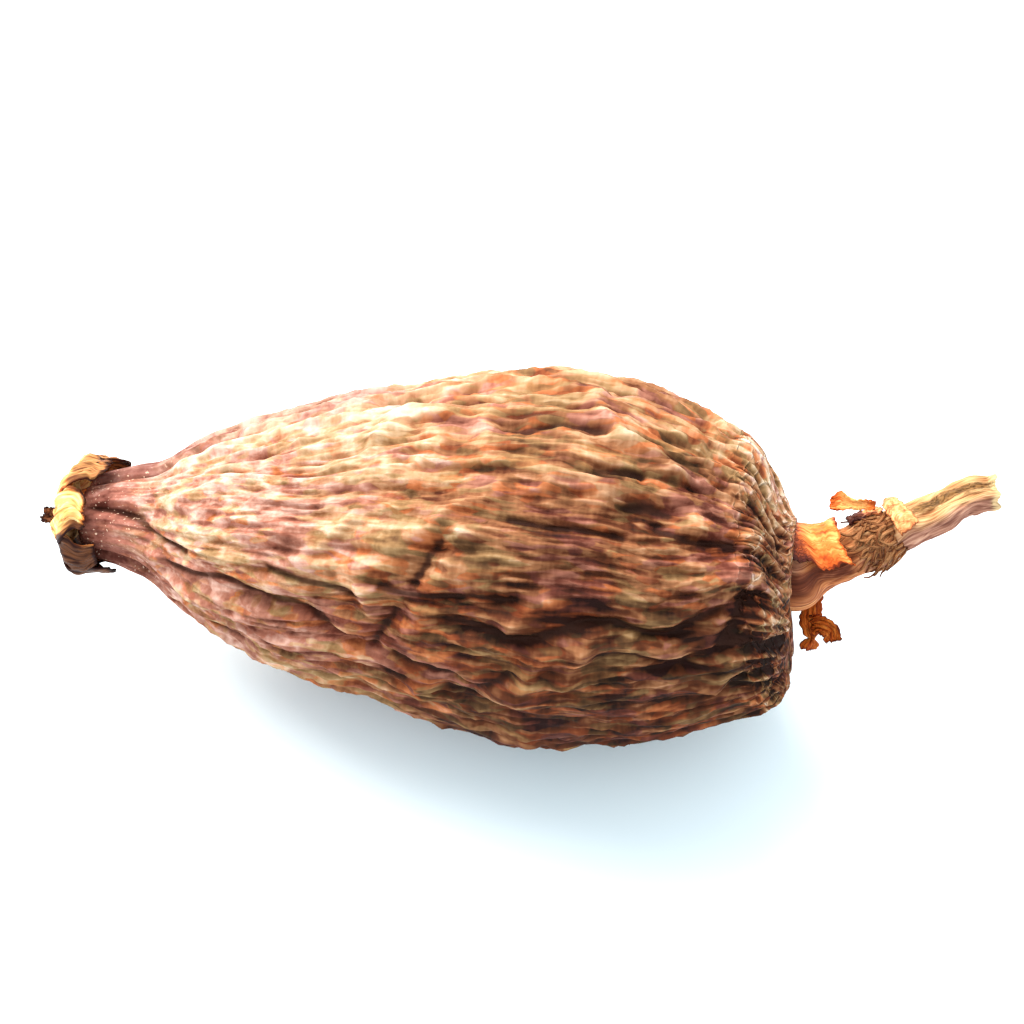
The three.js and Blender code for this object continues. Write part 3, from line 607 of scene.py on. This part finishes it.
def calyx_lobe(i):
    """A papery lobe of the calyx: a profile that starts at the neck's tip, bulges forward and folds back over
    the neck, spread over an angle, with its end torn and its face crumpled by noise. The lower lobes lie
    closer to the neck and are torn and crumpled less."""
    turn = 2 * np.pi * (i + 0.1 + 0.5 * noise(i * 3.1, 0.4, 2.2)) / CALYX_LOBES
    back = -0.3 + 2.4 * np.sin(turn) ** 2 + 1.2 * noise(i * 2.7, 9.4, 1.1)
    front = NECK_TIP - 2.1 - 0.8 * noise(i * 1.9, 5.2, 0.7)
    lower = ramp(-np.sin(turn), 0.3, 0.6)
    middle = Line([
        (NECK_TIP - 1.7, 1.2),
        (front, 2.2),
        (front + 0.5, 3.7),
        (NECK_TIP - 0.5, CALYX_RADIUS - 0.1),
        (mix(NECK_TIP, back, 0.6), CALYX_RADIUS - 0.3 * lower),
        (back, CALYX_RADIUS + 0.2 - 0.8 * lower),
    ])

    def crumple(u, w):
        wide = 0.7 * noise(i * 5.7 + u * 3.8, w * 2.1, 3.8)
        return wide + 0.3 * (0.25 - np.abs(noise(i * 3.3 + u * 5, w * 4, 8.1))) + 0.14 * noise(u * 11, w * 9, i)

    def point(u, w):
        share = np.clip(u, 0, 1)
        at = middle.at(share)
        spread = mix(0.4, 0.6, np.sin(np.pi * share)) * (1 - 0.4 * share * share)
        torn = 1 + 0.14 * noise(share * 9, np.sign(w) * 2.2, i * 1.7)
        angle = turn + w * spread * torn + 0.2 * noise(i * 4.3, share * 3, 0.9)
        rise = crumple(share, w) * ramp(share, 0, 0.3)
        rise = np.where(rise > 0, rise, rise * (1 - 0.6 * ramp(share, 0.5, 0.7)))
        close = 1 - 0.8 * lower * share
        rise = rise * (1 - 0.6 * lower * share)
        torn_end = 0.3 * share * noise(i * 5.1, w * 8, 1.5)
        end = close * (0.5 * noise(i * 2.1, w * 2.2, share * 2) + torn_end)
        return on_ray(at[..., 0] + (u - share) + end, at[..., 1] + rise, angle)

    def tone(u, w):
        across = middle.at(np.clip(u, 0, 1))[..., 1] * np.sin(turn + 0.5 * w)
        folded = ramp(u, 0.5, 0.62) * (1 + ramp(u + 0.2 * noise(w * 3, 1.2, i), 0.8, 0.95))
        upper = 0.42 * ramp(across, 1.5, 3.0) * folded
        dark = ramp(-across + 0.5 * noise(u * 4, w * 3, i), 1.4, 2.4) * (1 - ramp(-across, 5.5, 5.8))
        # Painted shade: the last term darkens the dents of the crumpled paper.
        return upper + dark + 0.25 * np.maximum(0, -crumple(u, w))

    points, faces, places = paper(point, 44, 30, tone=tone)
    return points + CALYX_OFFSET * ACROSS, faces, places


def crumb(u, w):
    """The dark shred at the calyx's far end: a small sheet that stands forward from the heart, ragged by noise."""
    ragged = 0.5 * noise(w * 4, 3.3, 0.4) + 0.25 * noise(w * 11, 6.3, 0.4)
    along = NECK_TIP - 2.1 - (1.35 + ragged) * u
    across = 0.85 * w * (1 - 0.25 * u + 0.3 * noise(u * 6, np.sign(w), 5.1)) + 0.16 * noise(u * 5, w * 4, 1.9)
    face = 1.5 + 0.5 * u + 0.25 * noise(u * 4, w * 3, 8.2)
    return on_ray(along, 0 * u, 0 * u) + across[..., None] * ACROSS + face[..., None] * FACE


def knob():
    """The crumpled heart of the calyx: a lens whose radius swells by noise round it."""
    rows, columns = 40, 72
    tilt = np.pi * np.arange(1, rows) / rows
    tilt, angle = np.meshgrid(tilt, 2 * np.pi * np.arange(columns) / columns, indexing="ij")
    swell = 1 + 0.25 * noise_round(tilt * 1.3 + 3, angle, 1.2) + 0.18 * noise_round(tilt * 4, angle, 3)
    place, half_length, radius = NECK_TIP - 1.6, 0.9, 2.8
    body = on_ray(place - half_length * swell * np.cos(tilt), radius * swell * np.sin(tilt), angle)
    ends = on_ray(place + half_length * np.array([-1.0, 1.0]), np.zeros(2), np.zeros(2))
    points = np.concatenate([body.reshape(-1, 3), ends])
    count = body[..., 0].size
    grain = np.stack([tilt / 2, 0.4 * np.cos(angle) * tilt, 0.4 * np.sin(angle)], -1)
    faces = [
        grid_faces(rows - 1, columns, True),
        pole_faces(count, 0, columns, False),
        pole_faces(count + 1, count - columns, columns, True),
    ]
    places = {
        "grain": np.concatenate([grain.reshape(-1, 3), np.zeros((2, 3))]),
        "edge": np.ones(len(points)),
        "tone": np.full(len(points), 0.3),
        "under": np.zeros(len(points)),
    }
    return lay(points + CALYX_OFFSET * ACROSS), faces, places


class Socket:
    """A socket in a finish. An expression on sockets and numbers adds the Math nodes that work it out."""

    def __init__(self, finish, output):
        self.finish, self.output = finish, output

    def __add__(self, other):
        return self.finish.maths("ADD", self, other)

    def __radd__(self, other):
        return self.finish.maths("ADD", other, self)

    def __sub__(self, other):
        return self.finish.maths("SUBTRACT", self, other)

    def __rsub__(self, other):
        return self.finish.maths("SUBTRACT", other, self)

    def __mul__(self, other):
        return self.finish.maths("MULTIPLY", self, other)

    def __rmul__(self, other):
        return self.finish.maths("MULTIPLY", other, self)

    def __abs__(self):
        return self.finish.maths("ABSOLUTE", self, 0)


class Finish:
    """One material as a tree of nodes."""

    def __init__(self, name):
        self.material = bpy.data.materials.new(name)
        self.material.use_nodes = True
        self.tree = self.material.node_tree
        self.tree.nodes.clear()

    def node(self, kind, settings=None, values=None, output=0):
        """Adds a node of a type, with its settings first and then the values or links of its sockets."""
        made = self.tree.nodes.new(kind)
        for key, value in (settings or {}).items():
            if key == "stops":
                self.set_stops(made.color_ramp, value)
            else:
                setattr(made, key, value)
        for key, value in (values or {}).items():
            socket = next(s for s in made.inputs if s.identifier == key)
            if isinstance(value, Socket):
                self.tree.links.new(value.output, socket)
            else:
                socket.default_value = value
        return Socket(self, made.outputs[output]) if made.outputs else None

    @staticmethod
    def set_stops(stops, wanted):
        """Gives a colour ramp its stops, each a place and a colour."""
        while len(stops.elements) < len(wanted):
            stops.elements.new(1)
        for element, (place, shade) in zip(stops.elements, wanted):
            element.position, element.color = place, shade

    def maths(self, operation, first, second):
        return self.node("ShaderNodeMath", {"operation": operation}, {"Value": first, "Value_001": second})

    def attribute(self, name, output="Fac"):
        """What a piece's attribute holds, as a number or a vector."""
        made = self.node("ShaderNodeAttribute", {"attribute_name": name})
        return Socket(self, made.output.node.outputs[output])

    def parts(self, vector):
        """The three numbers of a vector or a colour."""
        made = self.node("ShaderNodeSeparateXYZ", None, {"Vector": vector}).output.node
        return [Socket(self, output) for output in made.outputs]

    def celled(self, vector, cell, shift):
        """A vector in millimetres counted in cells of the given size along each of its directions."""
        return self.node(
            "ShaderNodeVectorMath",
            {"operation": "MULTIPLY_ADD"},
            {"Vector": vector, "Vector_001": [1 / c for c in cell], "Vector_002": (shift, shift, shift)},
        )

    def moved(self, vector, warp, reach):
        """A vector moved by a warp whose parts run from 0 to 1."""
        values = {"Vector": warp, "Vector_001": (reach, reach, reach), "Vector_002": vector}
        return self.node("ShaderNodeVectorMath", {"operation": "MULTIPLY_ADD"}, values)

    def noise(self, vector, cell, detail=2.0, rough=0.5, shift=0.0, colour=False):
        """Noise from 0 to 1, or three such in a colour, with cells of the given size in millimetres."""
        values = {"Vector": self.celled(vector, cell, shift), "Scale": 1.0, "Detail": detail, "Roughness": rough}
        return self.node("ShaderNodeTexNoise", None, values, output=1 if colour else 0)

    def streaks(self, vector, cell, shift, soft):
        """Three numbers from 0 to 1 that are nearly even within each cell of a scattered pattern."""
        values = {"Vector": self.celled(vector, cell, shift), "Scale": 1.0, "Smoothness": soft, "Randomness": 1.0}
        return self.parts(self.node("ShaderNodeTexVoronoi", {"feature": "SMOOTH_F1"}, values, output=1))

    def net(self, vector, cell, shift):
        """The distance to the nearest seam between the cells of a scattered pattern, 0 on the seam."""
        values = {"Vector": self.celled(vector, cell, shift), "Scale": 1.0}
        return self.node("ShaderNodeTexVoronoi", {"feature": "DISTANCE_TO_EDGE"}, values)

    def step(self, value, low, high):
        """0 below low, 1 above high and smooth between."""
        return self.node(
            "ShaderNodeMapRange",
            {"interpolation_type": "SMOOTHSTEP"},
            {"Value": value, "From Min": low, "From Max": high},
        )

    def shades(self, value, *stops):
        """A colour ramp with (place, red, green, blue) stops, the colours as a screen shows them."""
        return self.node(
            "ShaderNodeValToRGB", {"stops": [(stop[0], shade(*stop[1:])) for stop in stops]}, {"Fac": value}
        )

    def blend(self, mask, first, second, kind="MIX"):
        """Two colours mixed by a mask."""
        settings = {"data_type": "RGBA", "blend_type": kind}
        values = {"Factor_Float": mask, "A_Color": first, "B_Color": second}
        return self.node("ShaderNodeMix", settings, values, output=2)

    def done(self, colour, rough, height, **constants):
        """The surface shader, with a height in millimetres as bump, and the numbers that are the same all over."""
        bump = self.node("ShaderNodeBump", None, {"Height": height, "Distance": MM, "Strength": 1.0})
        values = {"Base Color": colour, "Roughness": rough, "Normal": bump, **constants}
        surface = self.node("ShaderNodeBsdfPrincipled", None, values)
        self.node("ShaderNodeOutputMaterial", None, {"Surface": surface})
        return self.material


def shade(red, green, blue):
    """A colour given as a screen shows it, from 0 to 255, as linear light."""
    values = np.array([red, green, blue]) / 255
    linear = np.where(values <= 0.04045, values / 12.92, ((values + 0.055) / 1.055) ** 2.4)
    return (*linear.tolist(), 1.0)


# Dry surfaces reflect less than the shader's usual 0.5.
MATT = {"Specular IOR Level": 0.1}


def skin_finish():
    """The pod's skin: dark in its furrows and pale on its crests, partly its own colour and partly painted shade and
    light, with short streaks along the pod that each keep their own tone of tan, orange, olive or mauve. Its upper
    side and its half towards the neck are painted paler, as light from above and from the neck's side would make
    them; it is mauve towards the neck, and netted with thin pale ridges round its broad end."""
    f = Finish("dried skin")
    unrolled = f.attribute("unrolled", "Vector")
    fold, fine, crease, along, turn = [f.attribute(name) for name in ("fold", "fine", "crease", "along", "turn")]
    warp = f.noise(unrolled, (2.0, 1.2, 1.2), 2.0, 0.5, 3.0, colour=True)
    wavy = f.moved(unrolled, warp, 0.35)
    long_red, long_green, long_blue = f.streaks(wavy, (4.2, 0.95, 0.95), 0.0, 0.35)
    short_red, short_green, short_blue = f.streaks(wavy, (2.2, 0.5, 0.5), 9.0, 0.35)
    streak = f.noise(wavy, (4.6, 0.5, 0.5), 1.0, 0.45)
    hair = f.noise(unrolled, (1.2, 0.3, 0.3), 2.0, 0.6, 7.0)
    bar = f.noise(wavy, (0.6, 1.6, 1.6), 1.0, 0.6, 13.0)
    region = f.noise(unrolled, (14.0, 7.0, 7.0), 2.0, 0.5, 47.0)
    area = f.noise(unrolled, (11.0, 8.0, 8.0), 2.0, 0.5, 59.0)
    left = f.step(46 - along, 0, 34)
    broad = f.step(along, 60.0, 64.0)
    net = f.net(wavy, (1.4, 1.9, 1.9), 5.0)
    ridge = broad * (1 - f.step(net, 0.0, 0.14)) * f.step(streak, 0.3, 0.6)
    neck = f.step(11 - along, 0, 10)
    plain = 1 - 0.6 * neck
    blotch = f.noise(unrolled, (2.4, 1.5, 1.5), 4.0, 0.65, 83.0)
    grit = f.noise(unrolled, (0.5, 0.35, 0.35), 2.0, 0.6, 91.0)
    mottle = (0.24 + 0.6 * left) * (blotch - 0.5) + (0.03 + 0.09 * left) * (grit - 0.5)
    small = 0.2 * (long_red - 0.5) + 0.17 * (short_red - 0.5) + 0.4 * (streak - 0.5) + 0.05 * (hair - 0.5)
    small = plain * (small + 0.2 * (bar - 0.5))
    # Painted shade and light, partly the skin's own colour: tone falls in the relief's furrows and rises on its
    # crests (fold, fine, crease), more so at the broad end.
    tone = 0.335 + 0.03 * fold + 0.38 * fine + 0.25 * crease + small
    # Painted light: the upper side (turn) and the half towards the neck (left) are made paler, as the lamp above and
    # beyond the neck would light them.
    tone = tone + 0.15 * turn + 0.26 * left + 0.2 * (area - 0.5)
    tone = tone - 0.03 * broad + broad * (0.62 * fine + 0.16 * fold) + 0.26 * ridge - 0.1 * f.step(6 - along, 0, 6)
    # Painted light: over the half towards the neck the tone is drawn up towards 0.7, which lifts the shade in the
    # furrows there.
    tone = tone + 0.3 * left * (0.7 - tone) - 0.15 * neck + mottle

    tan = f.shades(
        tone,
        (0.02, 34, 13, 6),
        (0.22, 86, 42, 21),
        (0.42, 143, 92, 59),
        (0.62, 188, 140, 105),
        (0.95, 245, 217, 193),
    )
    orange = f.shades(tone, (0.02, 42, 14, 6), (0.25, 116, 51, 23), (0.5, 184, 98, 52), (0.95, 242, 184, 142))
    olive = f.shades(tone, (0.02, 30, 19, 9), (0.25, 84, 62, 36), (0.5, 142, 114, 72), (0.95, 222, 196, 162))
    mauve = f.shades(tone, (0.02, 36, 12, 10), (0.25, 90, 42, 33), (0.5, 154, 96, 82), (0.95, 242, 198, 184))

    mixed = 0.55 * long_green + 0.45 * short_green
    colour = f.blend(0.7 * f.step(mixed + 1.0 * (region - 0.5), 0.52, 0.68), tan, orange)
    mixed = 0.55 * long_blue + 0.45 * short_blue
    colour = f.blend(0.6 * f.step(mixed + 1.4 * (area - 0.5) - 0.06 * left, 0.56, 0.74), colour, olive)
    colour = f.blend(0.75 * f.step(1 - mixed + 1.2 * (0.5 - area) + 0.26 * left - 0.05, 0.6, 0.78), colour, mauve)
    colour = f.blend(0.85 * neck, colour, mauve)
    edge = f.step(turn, 0.86, 0.98) * f.step(34 - along, 0, 14)
    dusk = f.shades(tone, (0.2, 60, 28, 28), (0.6, 120, 72, 64), (0.95, 200, 150, 132))
    colour = f.blend(0.7 * edge, colour, dusk)
    # Painted shade, partly the skin's own dark: the deepest creases are blended to a near black-brown.
    colour = f.blend(0.75 * f.step(0 - crease, 0.35, 0.9), colour, shade(46, 22, 13))

    # Painted highlights: pale glints scattered over the neck.
    painted_glints = neck * f.step(f.noise(unrolled, (0.32, 0.28, 0.28), 1.0, 0.5, 97.0), 0.68, 0.74)
    colour = f.blend(0.8 * painted_glints, colour, shade(246, 206, 176))

    rough = 0.7 - 0.2 * f.step(tone, 0.5, 1.0)
    bumps = 0.14 * (streak - 0.5) + 0.02 * (hair - 0.5) + 0.1 * (bar - 0.5) + 0.04 * short_red
    bumps = plain * bumps + 0.02 * (grit - 0.5)
    return f.done(colour, rough, bumps + 0.3 * ridge, **MATT)


def stalk_finish():
    """The stalk: straw strands with dark lines between the fibres, orange towards its foot, mauve underneath, a
    painted shadow on its foot below the sheath's lower edge, and a dark crumbly node."""
    f = Finish("dry stalk")
    grain, fibre, channel = f.attribute("grain", "Vector"), f.attribute("fibre"), f.attribute("channel")
    share, face, across = f.parts(grain)
    lines = f.noise(grain, (0.12, 0.12, 0.12), 2.0, 0.6)
    hairs = f.noise(grain, (0.22, 0.06, 0.06), 2.0, 0.6, 9.0)
    blots = f.noise(grain, (0.07, 0.3, 0.3), 2.0, 0.6, 17.0)
    tone = 0.52 + 0.3 * fibre + 0.9 * (hairs - 0.5) + 0.7 * (lines - 0.5) + 0.4 * (blots - 0.5)
    straw = f.shades(tone, (0.0, 92, 48, 24), (0.3, 160, 104, 62), (0.6, 214, 160, 108), (1.0, 246, 208, 152))
    mauve = f.shades(tone, (0.0, 70, 36, 30), (0.35, 132, 82, 66), (0.65, 184, 128, 104), (1.0, 230, 180, 150))
    orange = f.shades(tone, (0.0, 66, 24, 12), (0.35, 146, 74, 38), (0.65, 200, 116, 62), (1.0, 238, 176, 108))
    colour = f.blend(f.step(0 - across + 0.5 * (blots - 0.5), -0.1, 0.6), straw, mauve)
    colour = f.blend(0.85 * f.step(0.4 - share, 0.0, 0.1), colour, orange)
    colour = f.blend(0.7 * f.step(0.14 - share + 0.1 * across, 0.0, 0.08), colour, mauve)
    # Painted shadow, partly the foot's own darker colour: a dark reddish band on the foot just below the sheath's
    # lower edge, where the sheath shades it.
    shaded = f.step(0.1 - across + 0.3 * (blots - 0.5), 0.0, 0.3) * f.step(across + 0.9, 0.0, 0.35)
    shaded = shaded * f.step(0.34 - share, 0.0, 0.06)
    shadow_umber = f.shades(tone, (0.1, 40, 12, 6), (0.6, 96, 42, 26), (1.0, 156, 88, 60))
    colour = f.blend(0.95 * shaded, colour, shadow_umber)
    node = f.step(0.09 - abs(share - NODE_SHARE), 0.0, 0.05)
    crumbly = f.shades(tone, (0.2, 70, 34, 18), (0.7, 140, 84, 52), (1.0, 206, 142, 92))
    colour = f.blend(0.6 * node, colour, crumbly)
    pits = f.step(f.noise(grain, (0.035, 0.16, 0.16), 2.0, 0.7, 23.0), 0.36, 0.64)
    groove = f.step(channel + 0.3 * (pits - 0.5) + 0.6 * (blots - 0.5), 0.35, 0.75)
    colour = f.blend(0.85 * groove, colour, f.blend(pits, shade(58, 34, 18), shade(140, 98, 54)))
    colour = f.blend(0.7 * f.step(share + 0.1 * (lines - 0.5), 0.93, 0.99), colour, shade(240, 206, 150))
    bumps = 0.12 * (hairs - 0.5) + 0.1 * (lines - 0.5) + 0.12 * (blots - 0.5) * (0.5 + 0.5 * face)
    bumps = bumps + 0.16 * groove * (pits - 0.5)
    return f.done(colour, 0.7, bumps, **MATT)


def bract_finish(name, thin, middle, deep, dark, aged=(150, 84, 48), old=(70, 32, 28), crumpled=1.0):
    """A dry papery scale: fine grain along it, paler where it is thin, deeper at its torn edge and
    underneath. Where its tone rises it is aged, and at last old, and below 0 it is paler; on the sheath's lower edge
    by the pod and in the dents of the calyx paper that rise is painted shade. Crumpled scales how plainly its creases
    show."""
    f = Finish(name)
    grain = f.attribute("grain", "Vector")
    edge, under, toned = f.attribute("edge"), f.attribute("under"), f.attribute("tone")
    veins = f.noise(grain, (0.5, 0.06, 1.0), 2.0, 0.6)
    clouds = f.noise(grain, (0.28, 0.3, 1.0), 2.0, 0.5, 5.0)
    creases = abs(f.noise(grain, (1.6, 0.11, 1.0), 1.0, 0.5, 11.0) - 0.5)
    tone = 0.5 + 0.8 * (veins - 0.5) + 1.1 * (clouds - 0.5) - 0.35 * (1 - f.step(edge, 0.0, 0.12))
    tone = tone - 0.35 * crumpled * (1 - f.step(creases, 0.0, 0.05)) - 0.6 * f.maths("MINIMUM", toned, 0)
    colour = f.shades(tone, (0.0, *dark), (0.24, *deep), (0.5, *middle), (0.85, *thin))
    lines = f.step(tone, 0.25, 0.7)
    colour = f.blend(0.9 * f.step(toned, 0.1, 0.5), colour, f.blend(lines, shade(*old), shade(*aged)))
    colour = f.blend(0.9 * f.step(toned, 0.6, 0.95), colour, f.blend(0.15 * lines, shade(*old), shade(*aged)))
    colour = f.blend(0.35 * under * (1 - f.step(toned, 0.1, 0.5)), colour, shade(*deep))
    bumps = crumpled * (0.1 * (veins - 0.5) + 0.12 * (clouds - 0.5) + 0.08 * f.step(creases, 0.0, 0.06))
    return f.done(colour, 0.55, bumps, **MATT)


def pod_shape():
    """The pod's skin: rings round its outline, and a middle point at each end of it."""
    walked = OUTLINE.length * np.arange(1, POD_RINGS) / POD_RINGS
    walked, angle = np.meshgrid(walked, 2 * np.pi * np.arange(POD_SIDES) / POD_SIDES, indexing="ij")
    body, places = pod_skin(walked, angle)
    ends, end_places = pod_skin(np.array([[0.0], [OUTLINE.length]]), np.zeros((2, 1)))
    points = np.concatenate([body.reshape(-1, 3), ends.reshape(-1, 3)])
    places, end_places = flat_places(places), flat_places(end_places)
    places = {key: np.concatenate([v, end_places[key]]) for key, v in places.items()}
    count = walked.size
    faces = [
        grid_faces(POD_RINGS - 1, POD_SIDES, True),
        pole_faces(count, 0, POD_SIDES, False),
        pole_faces(count + 1, count - POD_SIDES, POD_SIDES, True),
    ]
    return points, faces, places


def sheath_tone(u, w):
    """Aged towards the pod; the extra darkening along the lower edge there is painted shade."""
    # Painted shade: the (1 - w) term darkens the lower edge near the pod.
    return 0.5 * (1 - u) ** 2 + 0.35 * (1 - w) * (1 - u) ** 2 - 0.1


def curl_tone(u, w):
    """Palest halfway along."""
    return -1.5 * np.sin(np.pi * np.clip(u, 0, 1)) ** 3


def link_tone(u, w):
    """Old on the half towards the pod."""
    return ramp(0.55 - u, 0, 0.1)


def shred_tone(u, w):
    """Old all over."""
    return np.full(np.shape(u), 0.9)


# The finishes of the dry papers: their thin, middle, deep and dark shades, and those where they are aged and old.
fibre_finish = bract_finish(
    "node fibre", (255, 204, 146), (232, 158, 100), (178, 104, 58), (104, 50, 24), (166, 92, 52), (92, 42, 22)
)
orange_finish = bract_finish(
    "orange bract", (255, 190, 110), (240, 124, 54), (204, 84, 30), (124, 44, 18), (170, 70, 32), crumpled=0.6
)
deep_finish = bract_finish("brown bract", (246, 160, 68), (204, 94, 22), (150, 56, 10), (80, 28, 6))
flap_finish = bract_finish(
    "pale scar", (252, 208, 150), (232, 154, 94), (190, 104, 60), (122, 62, 38), (196, 112, 76), crumpled=0.35
)
calyx_finish = bract_finish(
    "calyx paper",
    (255, 236, 184),
    (250, 196, 116),
    (222, 126, 60),
    (128, 58, 28),
    (196, 114, 64),
    (38, 10, 9),
    crumpled=0.45,
)

new_piece("pod_skin", pod_shape(), skin_finish(), "pod")
new_piece("stalk_body", stalk_shape(), stalk_finish(), "stalk")
fibres = joined_sheets([node_fibre(i) for i in range(FIBRE_COUNT)])
new_piece("stalk_fibres", fibres, fibre_finish, "stalk")
new_piece("sheath", paper(sheath, 60, 110, tone=sheath_tone), orange_finish, "sheathing_bract")
new_piece("curl", paper(curl, 90, 36, tone=curl_tone), orange_finish, "curled_bract")
strips = joined_sheets([paper(HANGING_STRIP, 70, 24), paper(HANGING_FORK, 60, 24)])
new_piece("hanging", strips, deep_finish, "hanging_bract")
scar = joined_sheets([paper(flap, 50, 50), paper(link, 40, 40, tone=link_tone)])
new_piece("flap", scar, flap_finish, "node_flap")
heart = [knob(), paper(crumb, 24, 24, tone=shred_tone)]
calyx = joined_sheets(heart + [calyx_lobe(i) for i in range(CALYX_LOBES)])
new_piece("calyx_paper", calyx, calyx_finish, "calyx")

# The camera: an 80 mm lens at the photograph's angle, at the distance that gives its scale.
AZIMUTH, ELEVATION = np.radians(9.3), np.radians(60)
LENS, SENSOR, FRAME_PIXELS = 80, 36, 1024
PIXEL = 0.0939
AIM_ALONG, AIM_ABOVE = 40.4, 5.0
back = np.array([
    np.sin(AZIMUTH) * np.cos(ELEVATION), -np.cos(AZIMUTH) * np.cos(ELEVATION), np.sin(ELEVATION)
])
right = np.array([np.cos(AZIMUTH), np.sin(AZIMUTH), 0])
up = np.cross(back, right)
aim = lay(on_ray(AIM_ALONG, 0.0, 0.0)) + up * AIM_ABOVE
distance = FRAME_PIXELS * LENS / SENSOR * PIXEL
camera_data = bpy.data.cameras.new("camera")
camera_data.lens, camera_data.sensor_width = LENS, SENSOR
camera_data.clip_start, camera_data.clip_end = 0.01, 10
camera = bpy.data.objects.new("camera", camera_data)
camera.matrix_world = Matrix.Translation(Vector((aim + back * distance) * MM)) @ Matrix(
    np.stack([right, up, back], -1).tolist()
).to_4x4()
bpy.context.scene.collection.objects.link(camera)
bpy.context.scene.camera = camera


def soft_lamp(name, direction, away, size, power, colour):
    """A square lamp that looks at the object's middle from a direction."""
    data = bpy.data.lights.new(name, "AREA")
    data.shape, data.size, data.energy, data.color = "SQUARE", size, power, colour
    lamp = bpy.data.objects.new(name, data)
    lamp.location = Vector(direction).normalized() * away + Vector((0, 0, AXIS_HEIGHT * MM))
    lamp.rotation_euler = Vector(direction).to_track_quat("Z", "Y").to_euler()
    bpy.context.scene.collection.objects.link(lamp)


WINDOW_WAY, WINDOW_COLOUR = (-0.55, 0.6, 0.85), (1.0, 0.97, 0.93)
WINDOW_AWAY, WINDOW_SIZE, WINDOW_POWER = 0.8, 0.7, 14.5
soft_lamp("window", WINDOW_WAY, WINDOW_AWAY, WINDOW_SIZE, WINDOW_POWER, WINDOW_COLOUR)

ROOM_COLOUR, ROOM_STRENGTH = (0.84, 0.95, 1.0, 1), 1.55
world = bpy.data.worlds.new("room")
world.use_nodes = True
world.node_tree.nodes["Background"].inputs["Color"].default_value = ROOM_COLOUR
world.node_tree.nodes["Background"].inputs["Strength"].default_value = ROOM_STRENGTH
bpy.context.scene.world = world
bpy.context.scene.view_settings.view_transform = "Standard"

FLOOR_HALF, FLOOR_COLOUR, FLOOR_ROUGHNESS = 1.5, (0.85, 0.92, 0.95, 1), 0.5
floor_mesh = bpy.data.meshes.new("floor")
corners = [(x * FLOOR_HALF, y * FLOOR_HALF, 0) for x, y in ((-1, -1), (1, -1), (1, 1), (-1, 1))]
floor_mesh.from_pydata(corners, [], [(0, 1, 2, 3)])
floor = bpy.data.objects.new("floor", floor_mesh)
bpy.context.scene.collection.objects.link(floor)
plain = Finish("plain floor")
floor_values = {"Base Color": FLOOR_COLOUR, "Roughness": FLOOR_ROUGHNESS}
surface = plain.node("ShaderNodeBsdfPrincipled", None, floor_values)
plain.node("ShaderNodeOutputMaterial", None, {"Surface": surface})
floor_mesh.materials.append(plain.material)
